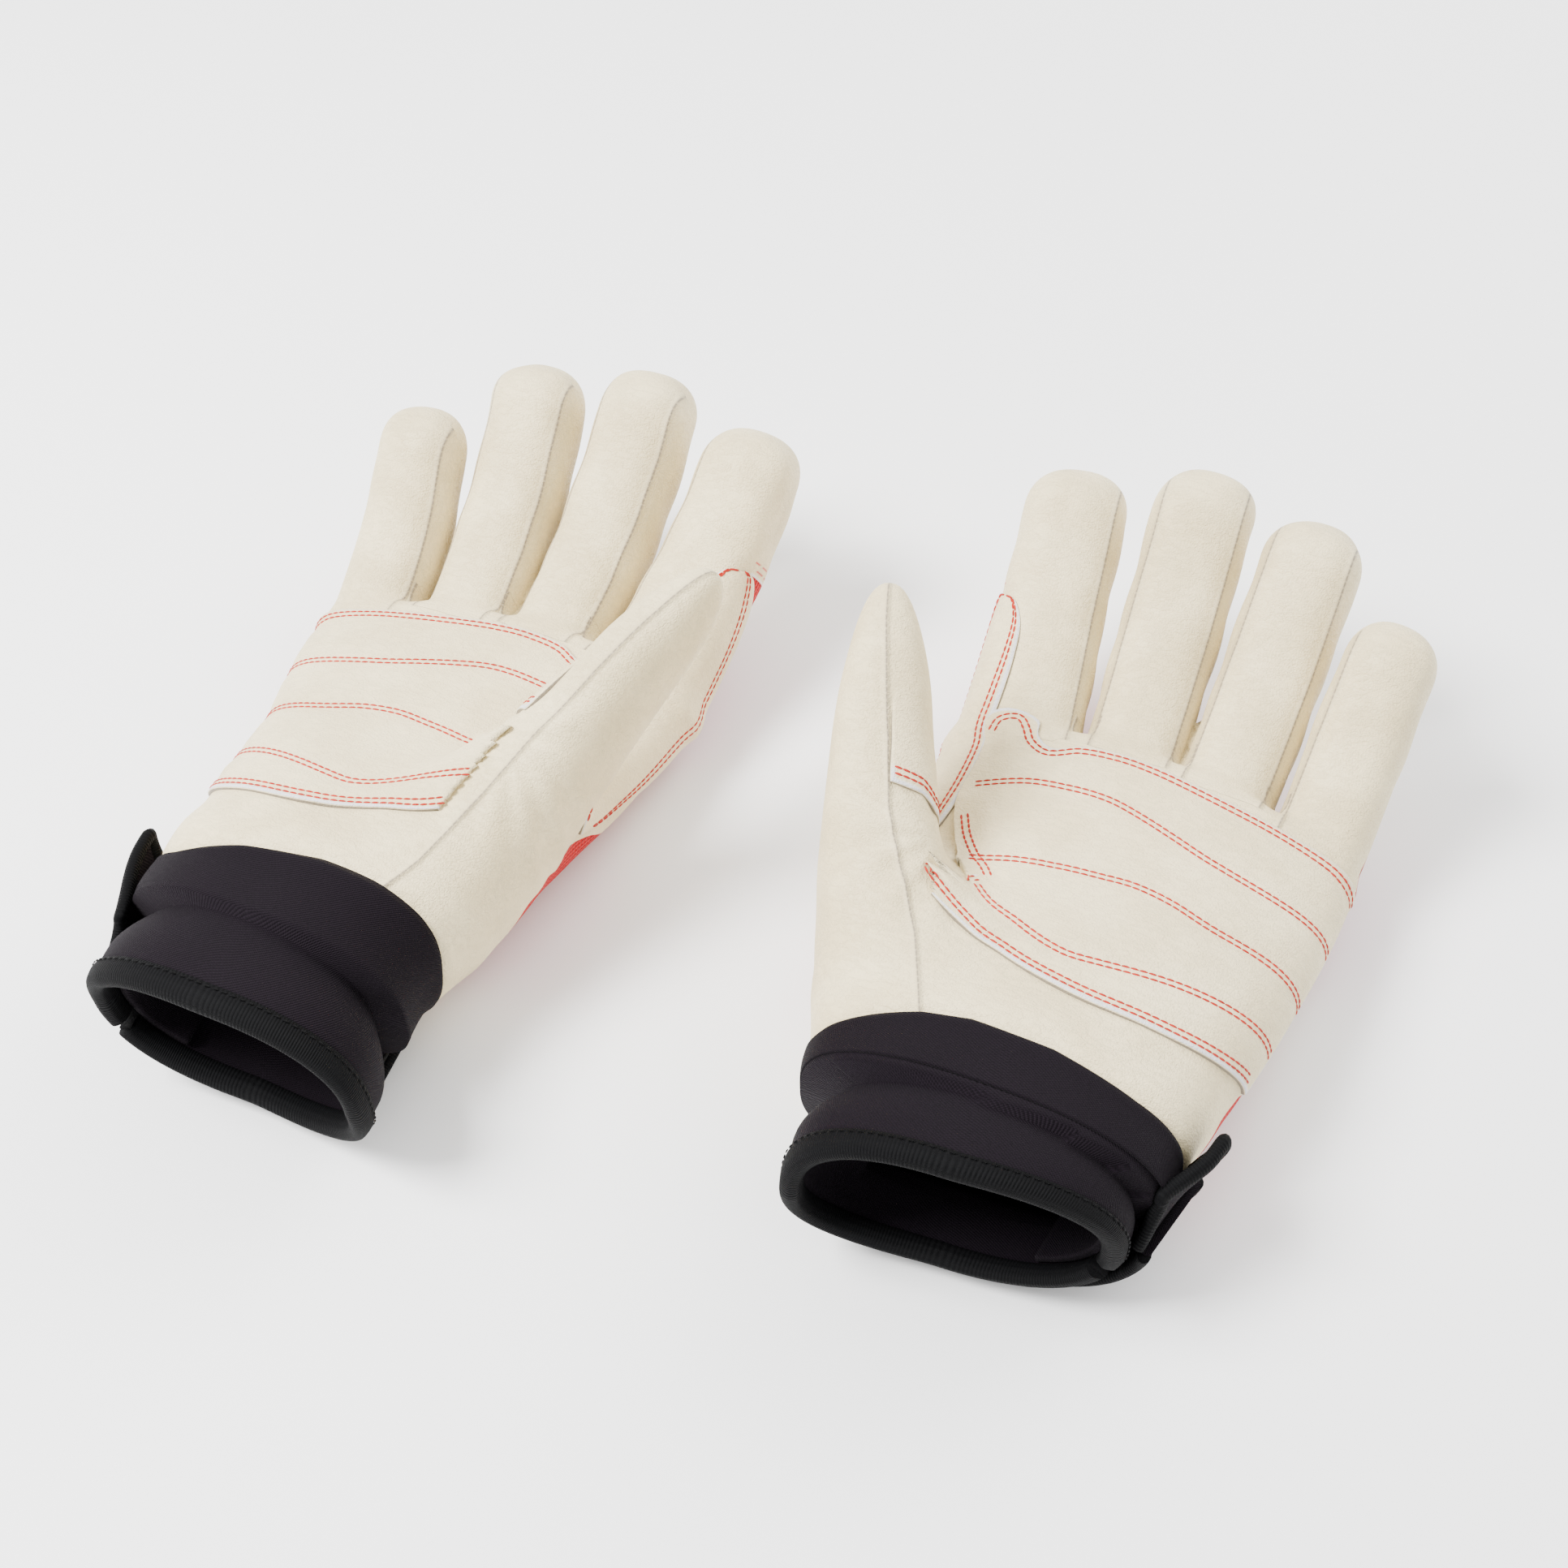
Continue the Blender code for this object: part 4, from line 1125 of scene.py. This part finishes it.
def leather_look(name, light, dark, cut=False):
    look = Look(name)
    rest = look.attribute("rest").outputs["Vector"]
    parts = look.node("ShaderNodeSeparateXYZ", Vector=look.attribute("seam").outputs["Vector"])
    seam = look.math("MINIMUM", *(look.math("ABSOLUTE", parts.outputs[k]) for k in (0, 1)))
    seam = look.math("MINIMUM", seam, look.math("ABSOLUTE", parts.outputs[2]))
    run = look.attribute("run").outputs["Fac"]
    broad = look.noise(rest, 0.045, 2.0)
    grain = look.node("ShaderNodeTexVoronoi", {"feature": "DISTANCE_TO_EDGE"}, Vector=rest, Scale=1.15).outputs[0]
    fine = look.noise(rest, 1.6, 4.0, 0.6)
    crease = look.noise(look.stretched(rest, (0.16, 0.42, 0.3)), 1.0, 5.0, 0.62)
    ridge = look.math("ABSOLUTE", look.math("SUBTRACT", crease, 0.5))
    colour = look.mix(look.ramp(broad, 0.3, 0.7), dark, light)
    shade = look.math("MULTIPLY_ADD", look.ramp(fine, 0.25, 0.75), 0.07, 0.955)
    value = look.node("ShaderNodeHueSaturation", Value=shade, Color=colour).outputs[0]
    line = look.bell(seam, 0.26)
    dash = look.ramp(look.math("SINE", look.math("MULTIPLY", run, 3.3)), -0.9, -0.3)
    thread = look.math("MULTIPLY", line, look.math("MULTIPLY_ADD", dash, 0.3, 0.62))
    value = look.mix(thread, value, (0.20, 0.16, 0.115, 1))
    cap = look.attribute("cap").outputs["Fac"]
    dashes = look.ramp(look.math("SINE", look.math("MULTIPLY", look.attribute("weave").outputs["Vector"], 3.1)), -0.9, -0.4)
    for place in (1.9, 3.9):
        row = look.math("MULTIPLY", look.bell(look.math("SUBTRACT", cap, place), 0.3), dashes)
        value = look.mix(look.math("MINIMUM", row, 1.0), value, (0.55, 0.02, 0.008, 1))
    rim = look.math("MULTIPLY", look.ramp(look.math("ABSOLUTE", cap), 0.9, 0.6), 0.7)
    value = look.mix(rim, value, (0.78, 0.77, 0.78, 1))
    # Painted shade: a soft darkening about a millimetre either side of each seam, in its sunken groove.
    value = look.mix(look.math("MULTIPLY", look.bell(seam, 1.1), 0.12), value, (0.4, 0.34, 0.27, 1))
    roughness = look.math("MULTIPLY_ADD", fine, 0.18, 0.46)
    height = look.math("ADD", look.math("MULTIPLY", look.ramp(grain, 0.0, 0.28), 0.16), look.math("MULTIPLY", fine, 0.12))
    height = look.math("ADD", height, look.math("MULTIPLY", look.ramp(ridge, 0.0, 0.06), 0.22))
    height = look.math("ADD", height, look.math("MULTIPLY", look.bell(seam, 0.75), -1.5))
    if cut:
        edge = look.attribute("cut").outputs["Fac"]
        # Painted shadow: dark brown on the patch's lowest rim row, where its edge meets the skin below (cut below 0).
        value = look.mix(look.ramp(edge, 0.0, -0.8), value, (0.20, 0.165, 0.12, 1))
        edge = look.math("MAXIMUM", edge, 0.0)
        fibre = look.noise(rest, 3.2, 3.0)
        value = look.mix(edge, value, look.mix(fibre, (0.62, 0.61, 0.62, 1), (0.80, 0.79, 0.80, 1)))
        height = look.math("ADD", height, look.math("MULTIPLY", look.math("MULTIPLY", fibre, edge), 0.5))
        roughness = look.math("MAXIMUM", roughness, look.math("MULTIPLY", edge, 0.9))
    normal = look.bump_from(height, 0.0006, 0.75)
    return look.finish(value, roughness, normal, Sheen_Weight=0.08, Specular_IOR_Level=0.38)


def knit_look():
    look = Look("red_knit")
    weave = look.attribute("weave").outputs["Vector"]
    rest = look.attribute("rest").outputs["Vector"]
    parts = look.node("ShaderNodeSeparateXYZ", Vector=weave)
    u, v = parts.outputs[0], parts.outputs[1]
    rib = look.math("ABSOLUTE", look.math("SINE", look.math("MULTIPLY", u, math.pi / 1.7)))
    lean = look.math("ABSOLUTE", look.math("SINE", look.math("MULTIPLY", u, math.pi / 1.7)))
    loops = look.math("SINE", look.math("MULTIPLY_ADD", v, math.tau / 1.3, look.math("MULTIPLY", lean, 2.2)))
    height = look.math("ADD", look.math("MULTIPLY", rib, 0.7), look.math("MULTIPLY", loops, 0.22))
    fuzz = look.noise(rest, 2.5, 3.0)
    # The knit's colour follows its rib and loop relief: darker in the troughs, painted shade in its grooves; the fuzz
    # adds random tone.
    tone = look.ramp(look.math("ADD", height, look.math("MULTIPLY", fuzz, 0.3)), -0.05, 0.95)
    colour = look.mix(tone, (0.20, 0.003, 0.005, 1), (0.62, 0.012, 0.016, 1))
    colour = look.mix(look.math("MULTIPLY", look.noise(rest, 0.06, 2.0), 0.25), colour, (0.45, 0.01, 0.012, 1))
    height = look.math("ADD", height, look.math("MULTIPLY", fuzz, 0.2))
    normal = look.bump_from(height, 0.0008, 0.8)
    roughness = look.math("MULTIPLY_ADD", fuzz, 0.15, 0.74)
    return look.finish(colour, roughness, normal, Sheen_Weight=0.05, Specular_IOR_Level=0.15)


def cloth_look(name, dark, light, pitch, kind, **fixed):
    """Black cloth: a fine twill on neoprene, ribs across a binding, loops or hooks of a tape."""
    look = Look(name)
    weave = look.attribute("weave").outputs["Vector"]
    rest = look.attribute("rest").outputs["Vector"]
    parts = look.node("ShaderNodeSeparateXYZ", Vector=weave)
    u, v = parts.outputs[0], parts.outputs[1]
    if kind == "twill":
        slant = look.math("SINE", look.math("MULTIPLY", look.math("ADD", u, v), math.tau / pitch))
        cross = look.math("SINE", look.math("MULTIPLY", look.math("SUBTRACT", u, v), math.tau / (pitch * 0.7)))
        pattern = look.math("MULTIPLY_ADD", cross, 0.4, slant)
    elif kind == "rib":
        wave = look.math("SINE", look.math("MULTIPLY", u, math.tau / pitch))
        pattern = look.math("MULTIPLY_ADD", look.math("SINE", look.math("MULTIPLY", v, math.tau / 2.2)), 0.3, wave)
    else:
        spots = look.node("ShaderNodeTexVoronoi", Vector=weave, Scale=1 / pitch).outputs[0]
        pattern = look.math("SUBTRACT", 1.0, look.math("MULTIPLY", spots, 2.0))
    fuzz = look.noise(rest, 2.2, 4.0, 0.65)
    broad = look.noise(rest, 0.05, 2.0)
    tone = look.ramp(look.math("MULTIPLY_ADD", fuzz, 1.6, look.math("MULTIPLY_ADD", pattern, 0.25, -0.3)), 0.0, 1.0)
    colour = look.mix(tone, dark, light)
    colour = look.mix(look.math("MULTIPLY", broad, 0.3), colour, light)
    lint = look.ramp(look.noise(rest, 3.6, 1.0), 0.79, 0.82)
    colour = look.mix(look.math("MULTIPLY", lint, 0.1), colour, (0.12, 0.11, 0.12, 1))
    height = look.math("MULTIPLY_ADD", pattern, 0.45, look.math("MULTIPLY", fuzz, 0.7))
    normal = look.bump_from(height, 0.00028, 0.7)
    roughness = look.math("MULTIPLY_ADD", fuzz, 0.2, 0.62)
    return look.finish(colour, roughness, normal, **fixed)


def thread_look(name, dark, light, gloss):
    look = Look(name)
    weave = look.attribute("weave").outputs["Vector"]
    parts = look.node("ShaderNodeSeparateXYZ", Vector=weave)
    u, v, w = parts.outputs
    twist = look.math("SINE", look.math("MULTIPLY", look.math("MULTIPLY_ADD", v, 1.6, u), math.tau / 0.42))
    wander = look.noise(look.attribute("rest").outputs["Vector"], 0.35, 2.0)
    tone = look.ramp(look.math("MULTIPLY_ADD", twist, 0.2, wander), 0.2, 0.8)
    colour = look.mix(tone, dark, light)
    normal = look.bump_from(twist, 0.0001, 0.8)
    roughness = look.math("MULTIPLY_ADD", wander, 0.2, 0.42)
    return look.finish(colour, roughness, normal, Specular_IOR_Level=gloss)


def make_looks():
    light, dark = (0.81, 0.69, 0.42, 1), (0.70, 0.585, 0.34, 1)
    return {
        "leather": leather_look("cream_leather", light, dark),
        "patch": leather_look("patch_leather", (0.82, 0.70, 0.435, 1), (0.72, 0.605, 0.36, 1), cut=True),
        "knit": knit_look(),
        "neoprene": cloth_look("neoprene_twill", (0.0022, 0.0012, 0.0023, 1), (0.0075, 0.0048, 0.0078, 1), 0.85, "twill",
                               Sheen_Weight=0.012, Sheen_Roughness=0.5, Specular_IOR_Level=0.06),
        "binding": cloth_look("bound_edge", (0.001, 0.001, 0.0013, 1), (0.0032, 0.0032, 0.0036, 1), 0.8, "rib",
                              Sheen_Weight=0.0, Specular_IOR_Level=0.07),
        "tape": cloth_look("fastening_tape", (0.003, 0.003, 0.003, 1), (0.016, 0.016, 0.015, 1), 0.9, "dots",
                           Sheen_Weight=0.01, Specular_IOR_Level=0.06),
        # The inside of the hand: black cloth, near-black also to stand in for the shade deep in the glove.
        "lining_and_shade": cloth_look("lining_and_shade_cloth", (0.002, 0.002, 0.0025, 1), (0.006, 0.0055, 0.0065, 1), 1.2, "twill",
                             Sheen_Weight=0.01, Specular_IOR_Level=0.08),
        "thread": thread_look("red_thread", (0.42, 0.012, 0.005, 1), (0.66, 0.03, 0.012, 1), 0.3),
        "black_thread": thread_look("black_thread", (0.001, 0.001, 0.0012, 1), (0.005, 0.005, 0.0055, 1), 0.08),
    }


# ---------------------------------------------------------------- camera, floor and light


def make_camera():
    azimuth, elevation, distance = math.radians(23.3), math.radians(48.2), 0.5154
    back = Vector((math.sin(azimuth) * math.cos(elevation), -math.cos(azimuth) * math.cos(elevation),
                   math.sin(elevation)))
    data = bpy.data.cameras.new("camera")
    data.sensor_width, data.lens = 36, 36 * 2400 / 1932
    data.clip_start = 0.01
    camera = bpy.data.objects.new("camera", data)
    bpy.context.scene.collection.objects.link(camera)
    camera.location = Vector((0.0018, 0.0075, 0.030)) + back * distance
    camera.rotation_euler = back.to_track_quat("Z", "Y").to_euler()
    bpy.context.scene.camera = camera


def make_stage():
    mesh = bpy.data.meshes.new("floor")
    mesh.from_pydata([(-6, -6, 0), (6, -6, 0), (6, 6, 0), (-6, 6, 0)], [], [(0, 1, 2, 3)])
    floor = bpy.data.objects.new("floor", mesh)
    bpy.context.scene.collection.objects.link(floor)
    look = Look("floor")
    spots = look.noise(look.node("ShaderNodeTexCoord").outputs["Object"], 3.0, 2.0)
    colour = look.mix(spots, (0.93, 0.93, 0.93, 1), (0.96, 0.96, 0.96, 1))
    mesh.materials.append(look.finish(colour, 0.7, None))
    world = bpy.data.worlds.new("world")
    world.use_nodes = True
    world.node_tree.nodes["Background"].inputs["Color"].default_value = (1, 1, 1, 1)
    world.node_tree.nodes["Background"].inputs["Strength"].default_value = 1.45
    bpy.context.scene.world = world
    for name, place, size, power in (("key", (-0.75, -0.45, 1.15), 0.6, 62), ("rim", (0.5, 0.9, 0.8), 0.9, 16)):
        data = bpy.data.lights.new(name, "AREA")
        data.size, data.energy = size, power
        light = bpy.data.objects.new(name, data)
        bpy.context.scene.collection.objects.link(light)
        light.location = place
        light.rotation_euler = Vector(place).to_track_quat("Z", "Y").to_euler()


make_camera()
make_stage()
looks = make_looks()
for side in GLOVES:
    glove = Glove(side)
    make_hand(glove, looks)
    make_palm_patch(glove, looks)
    make_leaf(glove, looks)
    make_thumb_patch(glove, looks)
    make_cuff(glove, looks)
    make_strap(glove, looks)
